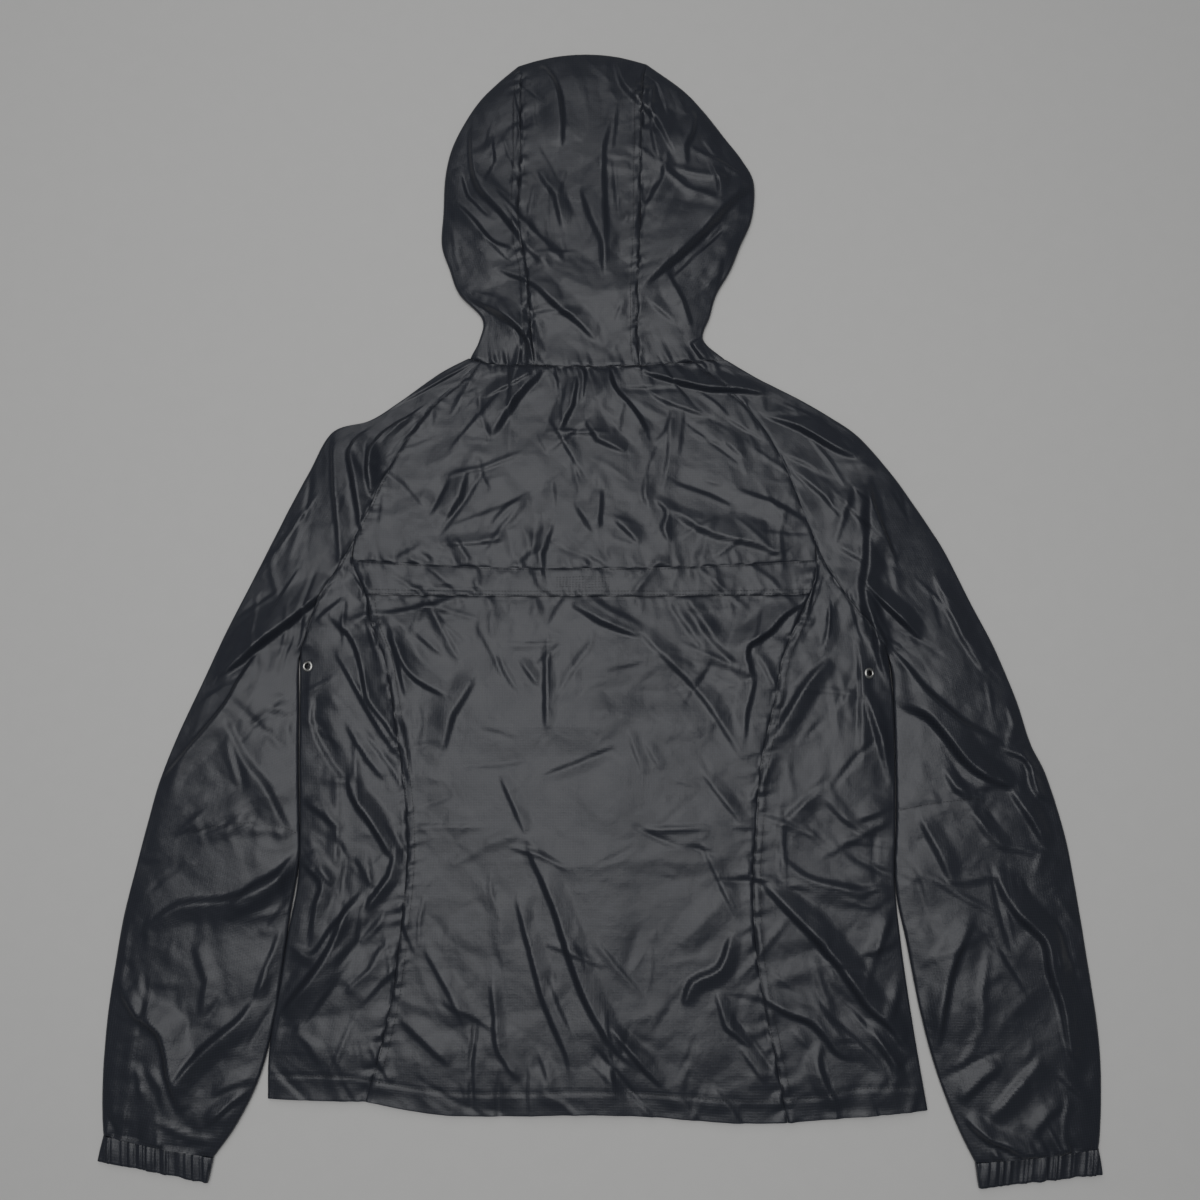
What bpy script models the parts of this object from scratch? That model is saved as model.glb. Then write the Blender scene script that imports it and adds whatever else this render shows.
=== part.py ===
"""Hooded windbreaker laid out flat on a level surface, back side up.

Metres, +Z up, +Y towards the hood, _L is the wearer's left (at -X). The origin is the
centre of the box that the garment covers, at the surface. Every cloth piece is a wall of
WALL, cut to its own seams and 0.3 mm or so clear of the next piece.

The top layer (hood, yoke, band, back panels) follows one height rule, so neighbouring
panels meet at the same level. At the body's side folds and along the underarm seams the
wall turns down in a quarter circle to meet the layer beneath. The hood's and the sleeves'
outer folds turn right round. The fronts lie flat on the surface.
"""
import math
from collections import namedtuple

import bmesh
import bpy
import numpy as np
from mathutils import Vector

# ---- driving dimensions ------------------------------------------------------------
WALL = 0.0012            # cloth wall
SEAM = 0.00025           # half of the gap between two pieces, measured along X
EDGE_LIFT = 0.0050       # height of the top layer over the surface
ZIP_RIDGE = 0.0020       # extra lift of the back over the zip
ZIP_REACH = 0.045        # half width of that lift
ZIP_RIDGE_TOP = 0.205    # and where it ends
SPLIT = 0.0008           # a sleeve and the body's side keep twice this apart

NECK_DIP = 0.0050        # the neck seam's middle is this much lower than its ends
BAND_TOP_Y = 0.0165      # top and bottom of the back band at the centre
BAND_LOW_Y = -0.0075
BAND_RISE = 0.0075       # the band's ends sit this much higher

FRONT_NECK = (0.113, 0.081)     # half width and drop of the front neckline
NECK_POINT_Y = 0.199            # where the front neckline starts
FACE_DROP = 0.0050        # the face opening starts this much below the neck points
FACE_EDGE = (0.0635, 0.033)     # and its lower edge is half this wide and this deep
NECK_CORNER = ((-0.1118, 0.1995), (0.1042, 0.1982))   # the lower front's top corners
CUFF_DEPTH = 0.0195             # elastic casing at the wrist
ZIP_GAP = 0.008                 # front edge to the centre line
ZIP_LIFT = 0.0023               # the front edges rise over the slider and its tab
ZIP_TOP_Y = 0.1555
ZIP_LOW_Y = -0.4140

# Back neck seam, from the left neck point to the right one.
Neck = namedtuple("Neck", "x y")
NECK = (
    Neck(-0.1155, 0.2005), Neck(-0.104, 0.197), Neck(-0.058, 0.1935), Neck(-0.012, 0.192),
    Neck(0.034, 0.1935), Neck(0.080, 0.197), Neck(0.108, 0.199),
)

# ---- the body, a row for each level --------------------------------------------------
# From the neck to the underarm the sides are the raglan seams.
Raglan = namedtuple("Raglan", "y left right")
RAGLAN = (
    Raglan(0.197, -0.104, 0.080),
    Raglan(0.180, -0.120, 0.100),
    Raglan(0.160, -0.143, 0.121),
    Raglan(0.143, -0.157, 0.135),
    Raglan(0.120, -0.172, 0.149),
    Raglan(0.093, -0.186, 0.161),
    Raglan(0.065, -0.198, 0.171),
    Raglan(0.044, -0.208, 0.179),
    Raglan(0.024, -0.218, 0.187),
    Raglan(-0.006, -0.236, 0.205),
    Raglan(-0.030, -0.245, 0.223),
    Raglan(-0.058, -0.253, 0.240),
)
YOKE_ROWS = 9            # the first rows lie above the band

# Below the underarm the sides are folds. The levels are those of PRINCESS.
Side = namedtuple("Side", "y left right")
SIDES = (
    Side(-0.058, -0.253, 0.240),
    Side(-0.092, -0.252, 0.243),
    Side(-0.147, -0.250, 0.243),
    Side(-0.200, -0.248, 0.241),
    Side(-0.240, -0.249, 0.240),
    Side(-0.285, -0.256, 0.243),
    Side(-0.330, -0.262, 0.248),
    Side(-0.375, -0.268, 0.254),
    Side(-0.424, -0.268, 0.261),
)

# Seams between the back and the side panels.
Princess = namedtuple("Princess", "y left right")
PRINCESS = (
    Princess(0.024, -0.210, 0.181),
    Princess(-0.006, -0.198, 0.174),
    Princess(-0.030, -0.193, 0.163),
    Princess(-0.058, -0.182, 0.151),
    Princess(-0.092, -0.175, 0.144),
    Princess(-0.147, -0.166, 0.131),
    Princess(-0.200, -0.160, 0.126),
    Princess(-0.240, -0.160, 0.123),
    Princess(-0.285, -0.164, 0.124),
    Princess(-0.330, -0.169, 0.129),
    Princess(-0.375, -0.178, 0.138),
    Princess(-0.424, -0.189, 0.148),
)

# The hem sags between the sides.
Hem = namedtuple("Hem", "x y")
HEM = (
    Hem(-0.268, -0.412),
    Hem(-0.205, -0.412),
    Hem(-0.140, -0.423),
    Hem(0.000, -0.424),
    Hem(0.175, -0.427),
    Hem(0.200, -0.422),
    Hem(0.262, -0.421),
)

# ---- the sleeves ----------------------------------------------------------------------
# Outer fold from the neck to the cuff; the inner edge follows RAGLAN, then `inner`.
Fold_point = namedtuple("Fold_point", "x y")
OUTER_L = (
    Fold_point(-0.1155, 0.2005), Fold_point(-0.140, 0.187), Fold_point(-0.175, 0.161),
    Fold_point(-0.200, 0.145), Fold_point(-0.231, 0.135), Fold_point(-0.250, 0.100),
    Fold_point(-0.266, 0.068), Fold_point(-0.280, 0.038), Fold_point(-0.296, 0.004),
    Fold_point(-0.315, -0.036), Fold_point(-0.333, -0.078), Fold_point(-0.353, -0.125),
)
OUTER_R = (
    Fold_point(0.108, 0.199), Fold_point(0.134, 0.183), Fold_point(0.170, 0.164),
    Fold_point(0.195, 0.149), Fold_point(0.220, 0.131), Fold_point(0.247, 0.099),
    Fold_point(0.266, 0.071), Fold_point(0.280, 0.049), Fold_point(0.292, 0.028),
    Fold_point(0.311, -0.013), Fold_point(0.328, -0.048), Fold_point(0.345, -0.092),
)
Sleeve = namedtuple("Sleeve", "outer_x outer_y inner_x inner_y")
SLEEVE_L = (
    Sleeve(-0.366, -0.162, -0.252, -0.100),
    Sleeve(-0.374, -0.195, -0.251, -0.145),
    Sleeve(-0.382, -0.231, -0.249, -0.190),
    Sleeve(-0.390, -0.270, -0.248, -0.226),
    Sleeve(-0.395, -0.308, -0.254, -0.270),
    Sleeve(-0.399, -0.345, -0.260, -0.320),
    Sleeve(-0.4005, -0.378, -0.266, -0.362),
    Sleeve(-0.4005, -0.405, -0.276, -0.400),
    Sleeve(-0.3995, -0.425, -0.292, -0.433),
    Sleeve(-0.3980, -0.440, -0.309, -0.457),
)
SLEEVE_R = (
    Sleeve(0.356, -0.130, 0.243, -0.105),
    Sleeve(0.368, -0.157, 0.243, -0.150),
    Sleeve(0.381, -0.205, 0.242, -0.195),
    Sleeve(0.388, -0.252, 0.240, -0.245),
    Sleeve(0.394, -0.302, 0.248, -0.293),
    Sleeve(0.399, -0.347, 0.257, -0.345),
    Sleeve(0.4010, -0.380, 0.266, -0.383),
    Sleeve(0.400, -0.413, 0.278, -0.419),
    Sleeve(0.398, -0.435, 0.288, -0.443),
    Sleeve(0.396, -0.450, 0.297, -0.461),
)
# Front raglan seams, from the neckline to the underarm; the same on both sides.
FRONT_RAGLAN_START = (0.0985, 0.158)
FRONT_RAGLAN_BOW = 0.010

# ---- the hood ---------------------------------------------------------------------------
Hood = namedtuple("Hood", "seam_l_x seam_l_y edge_l_x edge_l_y seam_r_x seam_r_y edge_r_x edge_r_y under")
HOOD = (
    Hood(-0.057, 0.194, -0.1135, 0.2010, 0.033, 0.194, 0.1065, 0.1995, 0.046),
    Hood(-0.060, 0.218, -0.106, 0.217, 0.031, 0.218, 0.088, 0.217, 0.046),
    Hood(-0.062, 0.239, -0.104, 0.236, 0.031, 0.239, 0.094, 0.238, 0.048),
    Hood(-0.063, 0.260, -0.124, 0.258, 0.031, 0.260, 0.100, 0.258, 0.052),
    Hood(-0.065, 0.281, -0.133, 0.281, 0.032, 0.281, 0.112, 0.279, 0.054),
    Hood(-0.070, 0.302, -0.140, 0.303, 0.033, 0.302, 0.121, 0.301, 0.056),
    Hood(-0.072, 0.325, -0.139, 0.332, 0.034, 0.325, 0.132, 0.328, 0.056),
    Hood(-0.072, 0.349, -0.138, 0.364, 0.034, 0.349, 0.134, 0.360, 0.054),
    Hood(-0.071, 0.373, -0.133, 0.390, 0.034, 0.373, 0.124, 0.381, 0.050),
    Hood(-0.071, 0.397, -0.122, 0.415, 0.035, 0.397, 0.108, 0.403, 0.046),
    Hood(-0.071, 0.420, -0.108, 0.437, 0.035, 0.420, 0.091, 0.426, 0.040),
    Hood(-0.071, 0.440, -0.091, 0.455, 0.036, 0.440, 0.073, 0.446, 0.034),
    Hood(-0.071, 0.456, -0.0745, 0.4695, 0.037, 0.457, 0.040, 0.4715, 0.030),
)
CROWN_BULGE = 0.0105      # how far the brim bows beyond the line between its two seams

# ---- the largest folds ---------------------------------------------------------------------
# Each is a soft ridge from (x0, y0) to (x1, y1), `rise` high and `spread` to each side.
Fold = namedtuple("Fold", "x0 y0 x1 y1 rise spread")
FOLDS = (
    Fold(-0.045, 0.180, -0.090, 0.120, 0.0040, 0.030),   # yoke, fanning from the neck seam
    Fold(-0.015, 0.165, 0.005, 0.100, 0.0050, 0.034),
    Fold(0.020, 0.165, 0.040, 0.100, 0.0040, 0.026),
    Fold(-0.060, 0.075, 0.070, 0.050, 0.0030, 0.034),
    Fold(0.090, 0.130, 0.150, 0.055, 0.0030, 0.026),
    Fold(-0.135, 0.120, -0.160, 0.055, 0.0030, 0.028),
    Fold(-0.020, -0.020, 0.080, -0.090, 0.0030, 0.030),   # below the band
    Fold(-0.130, -0.030, -0.100, -0.110, 0.0030, 0.030),
    Fold(0.150, -0.020, 0.110, -0.080, 0.0040, 0.026),
    Fold(-0.060, -0.205, 0.000, -0.330, 0.0040, 0.026),   # long diagonals at the centre
    Fold(0.000, -0.330, 0.035, -0.375, 0.0030, 0.022),
    Fold(0.110, -0.290, 0.070, -0.350, 0.0030, 0.024),
    Fold(-0.240, -0.150, -0.200, -0.240, 0.0040, 0.026),  # left side panel
    Fold(-0.205, -0.250, -0.255, -0.345, 0.0070, 0.030),
    Fold(0.145, -0.240, 0.225, -0.340, 0.0060, 0.028),    # right side panel
    Fold(0.180, -0.060, 0.225, -0.150, 0.0040, 0.026),
    Fold(-0.225, 0.040, -0.305, -0.040, 0.0040, 0.026),   # left sleeve
    Fold(-0.300, -0.045, -0.345, -0.140, 0.0060, 0.030),
    Fold(-0.310, -0.095, -0.260, -0.190, 0.0040, 0.024),
    Fold(-0.255, -0.220, -0.360, -0.260, 0.0060, 0.028),
    Fold(-0.360, -0.330, -0.335, -0.410, 0.0060, 0.030),
    Fold(-0.200, 0.125, -0.215, 0.060, 0.0040, 0.022),
    Fold(0.215, 0.080, 0.225, 0.000, 0.0060, 0.022),      # right sleeve
    Fold(0.235, 0.010, 0.275, -0.085, 0.0060, 0.028),
    Fold(0.260, -0.085, 0.360, -0.150, 0.0050, 0.028),
    Fold(0.320, -0.210, 0.370, -0.340, 0.0060, 0.030),
    Fold(0.300, -0.270, 0.295, -0.350, 0.0040, 0.024),
    Fold(-0.110, 0.310, -0.050, 0.250, 0.0050, 0.026),    # hood
    Fold(-0.105, 0.400, -0.080, 0.330, 0.0050, 0.026),
    Fold(0.110, 0.350, 0.050, 0.270, 0.0060, 0.026),
    Fold(-0.030, 0.440, -0.020, 0.340, 0.0040, 0.026),
    Fold(0.030, 0.440, 0.080, 0.390, 0.0040, 0.026),
)

# ---- hardware ---------------------------------------------------------------------------------
TAPE = (0.0029, 0.0149, 0.0038, 0.0048)      # inner and outer |x|, lower and upper z
CHAIN = (0.0026, 0.0035, 0.0051)             # half width, lower and upper z
HINGE_Y = 0.1500                             # the tab's pin, across the slider
HINGE_Z = 0.00165
TAB_LENGTH = 0.022
TAB_HALF = 0.0024
TAB_THICK = 0.0008
EYELET_RING = (0.0047, 0.0026, 0.0008)       # outer and hole radius, thickness
Eyelet = namedtuple("Eyelet", "name x y")
EYELETS = (Eyelet("eyelet_L", -0.2455, -0.066), Eyelet("eyelet_R", 0.2225, -0.072))


# ---- plan and height rules ----------------------------------------------------------------------
def between(table, column, y):
    """Value of a table's column at level y, straight between its rows."""
    levels = [row.y for row in reversed(table)]
    values = [getattr(row, column) for row in reversed(table)]
    return float(np.interp(y, levels, values))


def neck_seam(x):
    """Level of the back neck seam at x."""
    return float(np.interp(x, [row.x for row in NECK], [row.y for row in NECK]))


def hem_y(x):
    """Lower edge of the garment at x."""
    return float(np.interp(x, [row.x for row in HEM], [row.y for row in HEM]))


def ridge(fold, x, y):
    """Height that one fold adds at (x, y)."""
    run = Vector((fold.x1 - fold.x0, fold.y1 - fold.y0))
    away = Vector((x - fold.x0, y - fold.y0))
    along = min(1.0, max(0.0, away.dot(run) / run.length_squared))
    reach = (away - along * run).length / fold.spread
    return fold.rise * (1.0 - reach * reach) ** 2 if reach < 1.0 else 0.0


def top_height(x, y):
    """Outer face of the top layer over the surface."""
    over_zip = max(0.0, 1.0 - (x / ZIP_REACH) ** 2) ** 2 * ZIP_RIDGE if y < ZIP_RIDGE_TOP else 0.0
    return EDGE_LIFT + over_zip + sum(ridge(fold, x, y) for fold in FOLDS)


def front_lift(x):
    """Height of a front's outer face: flat, rising towards the zip."""
    step = min(1.0, max(0.0, (0.030 - abs(x)) / 0.016))
    return ZIP_LIFT * step * step * (3.0 - 2.0 * step)


# ---- walls ---------------------------------------------------------------------------------------
def top_run(start, end, shares):
    """Outer and inner points of the top layer between two plan points."""
    run = []
    for share in shares:
        x = start[0] + (end[0] - start[0]) * share
        y = start[1] + (end[1] - start[1]) * share
        z = top_height(x, y)
        run.append(((x, y, z), (x, y, z - WALL)))
    return run


def flat_run(start, end, shares, lifted=False):
    """Outer (lower) and inner points of the layer that lies on the surface."""
    run = []
    for share in shares:
        x = start[0] + (end[0] - start[0]) * share
        y = start[1] + (end[1] - start[1]) * share
        z = front_lift(x) if lifted else 0.0
        run.append(((x, y, z), (x, y, z + WALL)))
    return run


def turn(edge, outward, height, angles):
    """Outer and inner points where the wall turns round a fold, angles from the horizontal."""
    radius = height / 2.0
    centre = (edge[0] - outward[0] * radius, edge[1] - outward[1] * radius)
    points = []
    for degrees in angles:
        c, s = math.cos(math.radians(degrees)), math.sin(math.radians(degrees))
        outer = (centre[0] + outward[0] * radius * c, centre[1] + outward[1] * radius * c, radius + radius * s)
        small = radius - WALL
        inner = (centre[0] + outward[0] * small * c, centre[1] + outward[1] * small * c, radius + small * s)
        points.append((outer, inner))
    return points


def pulled_in(edge, outward, height):
    """Plan point where the top layer starts to turn round a fold."""
    return (edge[0] - outward[0] * height / 2.0, edge[1] - outward[1] * height / 2.0)


def unit(a, b):
    """Plan direction from a to b."""
    length = math.hypot(b[0] - a[0], b[1] - a[1])
    return ((b[0] - a[0]) / length, (b[1] - a[1]) / length)


def material(name, colour, roughness, metallic=0.0):
    """A sub-part's own finish."""
    made = bpy.data.materials.new(name)
    made.use_nodes = True
    shader = made.node_tree.nodes["Principled BSDF"]
    shader.inputs["Base Color"].default_value = (*colour, 1.0)
    shader.inputs["Roughness"].default_value = roughness
    shader.inputs["Metallic"].default_value = metallic
    return made


def add_object(name, bm, finish):
    """Put a finished bmesh in the scene with a material of its own."""
    bmesh.ops.recalc_face_normals(bm, faces=bm.faces)
    mesh = bpy.data.meshes.new(name)
    bm.to_mesh(mesh)
    bm.free()
    mesh.materials.append(material(name + "_finish", *finish))
    made = bpy.data.objects.new(name, mesh)
    bpy.context.scene.collection.objects.link(made)
    return made


CLOTH_FINISH = ((0.030, 0.031, 0.036), 0.42)
TAPE_FINISH = ((0.020, 0.020, 0.022), 0.80)
COIL_FINISH = ((0.015, 0.015, 0.017), 0.45)
METAL_FINISH = ((0.62, 0.62, 0.60), 0.30, 1.0)


def wall(name, rows, closed=False, finish=CLOTH_FINISH):
    """Closed wall through rows of (outer, inner) points; `closed` joins each row end to end."""
    bm = bmesh.new()
    outer = [[bm.verts.new(point[0]) for point in row] for row in rows]
    inner = [[bm.verts.new(point[1]) for point in row] for row in rows]
    across = len(rows[0])
    steps = across if closed else across - 1
    for i in range(len(rows) - 1):
        for j in range(steps):
            k = (j + 1) % across
            bm.faces.new((outer[i][j], outer[i][k], outer[i + 1][k], outer[i + 1][j]))
            bm.faces.new((inner[i][j], inner[i + 1][j], inner[i + 1][k], inner[i][k]))
    for j in range(steps):
        k = (j + 1) % across
        bm.faces.new((outer[0][k], outer[0][j], inner[0][j], inner[0][k]))
        bm.faces.new((outer[-1][j], outer[-1][k], inner[-1][k], inner[-1][j]))
    if not closed:
        for i in range(len(rows) - 1):
            bm.faces.new((outer[i][0], outer[i + 1][0], inner[i + 1][0], inner[i][0]))
            bm.faces.new((outer[i + 1][-1], outer[i][-1], inner[i][-1], inner[i + 1][-1]))
    bmesh.ops.triangulate(bm, faces=bm.faces)
    return add_object(name, bm, finish)


def shares(count):
    """Even shares from 0 to 1."""
    return [i / count for i in range(count + 1)]


# ---- back ------------------------------------------------------------------------------------------
def back_yoke():
    """Yoke from the neck seam to the band, between the raglan seams."""
    rows = []
    for i, row in enumerate(RAGLAN[:YOKE_ROWS]):
        down = i / (YOKE_ROWS - 1)
        left, right = row.left + SEAM, row.right - SEAM
        if i == YOKE_ROWS - 1:
            left, right = PRINCESS[0].left, PRINCESS[0].right
        points = []
        for share in shares(16):
            x = left + (right - left) * share
            bow = 1.0 - (2.0 * share - 1.0) ** 2
            y = row.y - bow * (NECK_DIP * (1.0 - down) ** 3 + (row.y - BAND_TOP_Y) * down ** 6)
            if i == 0:
                y = neck_seam(x) - SEAM
            elif i == YOKE_ROWS - 1:
                y += SEAM
            points.append(((x, y, top_height(x, y)), (x, y, top_height(x, y) - WALL)))
        rows.append(points)
    wall("back_yoke", rows)


def band_level(share, y_ends, y_centre):
    """Level across the band, bowed down in the middle."""
    return y_ends - (y_ends - y_centre) * (1.0 - (2.0 * share - 1.0) ** 2)


def back_band():
    """Casing strip across the back, between its two stitched lines."""
    rows = []
    for level, nudge in ((0, -SEAM), (1, SEAM)):
        ends = PRINCESS[level]
        centre = (BAND_TOP_Y, BAND_LOW_Y)[level]
        left, right = ends.left + SEAM, ends.right - SEAM
        points = []
        for share in shares(16):
            x = left + (right - left) * share
            y = band_level(share, ends.y, centre) + nudge
            z = top_height(x, y)
            points.append(((x, y, z), (x, y, z - WALL)))
        rows.append(points)
    wall("back_band", rows)


def settled(x, y):
    """Level of a lower row at x: the last rows follow the hem."""
    start, low = PRINCESS[-2].y, PRINCESS[-1].y
    down = min(1.0, max(0.0, (start - y) / (start - low)))
    return y + down * (hem_y(x) - low)


def split_levels(levels, parts):
    """Levels with each step divided evenly."""
    made = []
    for high, low in zip(levels[:-1], levels[1:]):
        made += [high + (low - high) * i / parts for i in range(parts)]
    return made + [levels[-1]]


def back_centre():
    """Centre back from the band to the hem, between the princess seams."""
    rows = []
    for y_row in split_levels([row.y for row in PRINCESS[1:]], 2):
        left = between(PRINCESS, "left", y_row) + SEAM
        right = between(PRINCESS, "right", y_row) - SEAM
        near_band = max(0.0, 1.0 - (PRINCESS[1].y - y_row) / (PRINCESS[1].y - PRINCESS[3].y))
        points = []
        for share in shares(15):
            x = left + (right - left) * share
            bow = 1.0 - (2.0 * share - 1.0) ** 2
            y = settled(x, y_row) + near_band * (bow * (BAND_LOW_Y - PRINCESS[1].y) - SEAM)
            z = top_height(x, y)
            points.append(((x, y, z), (x, y, z - WALL)))
        rows.append(points)
    wall("back_centre", rows)


def back_side(name, side):
    """Side panel: a wedge up to the band's end, and a quarter turn along the side fold."""
    column = "left" if side < 0 else "right"
    rows = []
    for y in split_levels([row.y for row in PRINCESS], 2):
        start_x = between(PRINCESS, column, y) + side * SEAM
        start = (start_x, settled(start_x, y))
        if y >= SIDES[0].y - 1e-9:
            edge = (between(RAGLAN, column, y) - side * SEAM, y)
            outward = unit(start, edge)
            tuck = min(0.003, 0.4 * math.hypot(edge[0] - start[0], edge[1] - start[1]))
            bend = (edge[0] - outward[0] * tuck, edge[1] - outward[1] * tuck)
            path = top_run(start, bend, shares(5)) + top_run(bend, edge, shares(3))[1:]
        else:
            edge_x = between(SIDES, column, y) - side * SPLIT
            edge = (edge_x, settled(edge_x, y))
            outward = unit(start, edge)
            bend = pulled_in(edge, outward, EDGE_LIFT)
            path = top_run(start, bend, shares(5))[:-1] + turn(edge, outward, EDGE_LIFT, (90, 62, 34, 6))
        rows.append(path)
    wall(name, rows)


# ---- sleeves ---------------------------------------------------------------------------------------
def front_raglan(side, share):
    """Point on the front raglan seam, from the neckline (0) to the underarm (1)."""
    underarm = (SIDES[0].left, SIDES[0].right)[side > 0]
    start = (side * FRONT_RAGLAN_START[0], FRONT_RAGLAN_START[1])
    x = start[0] + (underarm - start[0]) * share
    y = start[1] + (SIDES[0].y - start[1]) * share
    bow = FRONT_RAGLAN_BOW * math.sin(math.pi * share)
    return (x - side * bow, y - bow * 0.6)


def sleeve_section(back, edge, front, curl):
    """One ring: back seam, over the top, round the outer fold, and under to the front seam."""
    outward = unit(back, edge)
    inward = (-outward[0], -outward[1])
    bend = pulled_in(edge, outward, EDGE_LIFT)
    if curl:
        bent = pulled_in(back, inward, EDGE_LIFT)
        head = turn(back, inward, EDGE_LIFT, (6, 34, 62, 90))
        tail = turn(back, inward, EDGE_LIFT, (-62, -34, -6))
        under_end = bent
    else:
        tuck = min(0.003, 0.2 * math.hypot(edge[0] - back[0], edge[1] - back[1]))
        bent = (back[0] + outward[0] * tuck, back[1] + outward[1] * tuck)
        head = top_run(back, bent, shares(3))
        toward = unit(front, bend)
        tuck = min(0.003, 0.2 * math.hypot(bend[0] - front[0], bend[1] - front[1]))
        under_end = (front[0] + toward[0] * tuck, front[1] + toward[1] * tuck)
        tail = flat_run(under_end, front, shares(3))[1:]
    top = top_run(bent, bend, shares(8))[1:-1]
    fold = turn(edge, outward, EDGE_LIFT, (90, 54, 18, -18, -54))
    under = flat_run(bend, under_end, shares(3))
    return head + top + fold + under + tail


def sleeve_rows(side):
    """Sections of one sleeve from the neck to the cuff seam."""
    column = "left" if side < 0 else "right"
    outer = (OUTER_L, OUTER_R)[side > 0]
    rows = []
    for i, row in enumerate(RAGLAN):
        back = (getattr(row, column) + side * SEAM, row.y)
        share = i / (len(RAGLAN) - 1)
        front = front_raglan(side, share)
        front = (front[0] + side * SEAM, front[1])
        rows.append(sleeve_section(back, outer[i], front, False))
    for row in (SLEEVE_L, SLEEVE_R)[side > 0]:
        back = (row.inner_x + side * SPLIT, row.inner_y)
        rows.append(sleeve_section(back, (row.outer_x, row.outer_y), None, True))
    return rows


def cuff(name, side):
    """Elastic casing, a short flat tube that carries on from the sleeve's last section."""
    last = (SLEEVE_L, SLEEVE_R)[side > 0][-1]
    inner = (last.inner_x + side * SPLIT, last.inner_y)
    outer = (last.outer_x, last.outer_y)
    across = unit(inner, outer)
    down = (across[1], -across[0]) if side > 0 else (-across[1], across[0])
    rows = []
    for depth in (0.0004, CUFF_DEPTH / 2.0, CUFF_DEPTH):
        a = (inner[0] + down[0] * depth, inner[1] + down[1] * depth)
        b = (outer[0] + down[0] * depth, outer[1] + down[1] * depth)
        rows.append(sleeve_section(a, b, None, True))
    wall(name, rows)


# ---- fronts ------------------------------------------------------------------------------------------
def neckline(side, degrees, apart):
    """Point of the front neckline, turned from the side (0) to the centre (90)."""
    a, b = FRONT_NECK
    return (side * (a + apart) * math.cos(math.radians(degrees)),
            NECK_POINT_Y - (b + apart) * math.sin(math.radians(degrees)))


def neck_angles():
    """Angles that the fronts and the hood's lower fronts share, from the raglan to the zip."""
    first = math.degrees(math.acos(FRONT_RAGLAN_START[0] / FRONT_NECK[0])) + 1.0
    last = math.degrees(math.acos(ZIP_GAP / FRONT_NECK[0]))
    return [first + (last - first) * share for share in shares(5)]


def front(name, side):
    """Front panel, flat on the surface, with a quarter turn up at the side fold."""
    angles = neck_angles()
    rows = []
    count = len(RAGLAN) - 1
    for i in range(count + 1):
        outer = front_raglan(side, i / count)
        outer = (outer[0] - side * SEAM, outer[1])
        if i < len(angles):
            inner = neckline(side, angles[i], 0.0002)
        else:
            inner = (side * ZIP_GAP, outer[1] + (0.114 - outer[1]) * (count - i) / count * 0.5)
        toward = unit(inner, outer)
        tuck = min(0.003, 0.3 * math.hypot(outer[0] - inner[0], outer[1] - inner[1]))
        bend = (outer[0] - toward[0] * tuck, outer[1] - toward[1] * tuck)
        rows.append(front_strip(inner, bend) + flat_run(bend, outer, shares(3))[1:])
    column = "left" if side < 0 else "right"
    for y in [row.y for row in SIDES[1:]]:
        edge_x = between(SIDES, column, y) - side * SPLIT
        edge = (edge_x, settled(edge_x, y))
        inner = (side * ZIP_GAP, settled(side * ZIP_GAP, y))
        outward = unit(inner, edge)
        bend = pulled_in(edge, outward, EDGE_LIFT)
        rows.append(front_strip(inner, bend)[:-1] + turn(edge, outward, EDGE_LIFT, (-90, -62, -34, -6)))
    wall(name, rows)


def front_strip(inner, outer):
    """Columns of a front: close together where it rises to the zip, wide beyond."""
    width = abs(outer[0] - inner[0])
    near = [0.0, 0.006, 0.014, 0.022]
    if width < 0.06 or abs(inner[0]) > ZIP_GAP + 0.001:
        return flat_run(inner, outer, shares(6), lifted=True)
    marks = [step / width for step in near] + [0.45, 0.72, 1.0]
    return flat_run(inner, outer, marks, lifted=True)


# ---- hood ------------------------------------------------------------------------------------------------
def hood_side(name, side):
    """Side of the hood: from its seam to the outline, right round, and in towards the face."""
    letter = "l" if side < 0 else "r"
    rows = []
    for i, row in enumerate(HOOD):
        seam = (getattr(row, f"seam_{letter}_x") + side * SEAM, getattr(row, f"seam_{letter}_y"))
        edge = (getattr(row, f"edge_{letter}_x") + side * SEAM, getattr(row, f"edge_{letter}_y"))
        outward = unit(seam, edge)
        bend = pulled_in(edge, outward, EDGE_LIFT)
        end = (edge[0] - outward[0] * row.under, edge[1] - outward[1] * row.under)
        over = top_run(seam, bend, shares(5))[:-1]
        if i == 0:
            spots = [(outer[0], neck_seam(outer[0]) + 2.0 * SEAM) for outer, inner in over]
            over = [point for spot in spots for point in top_run(spot, spot, (0.0,))]
        rows.append(over
                    + turn(edge, outward, EDGE_LIFT, (90, 54, 18, -18, -54, -90))
                    + flat_run(bend, end, shares(2))[1:])
    wall(name, rows)


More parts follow.
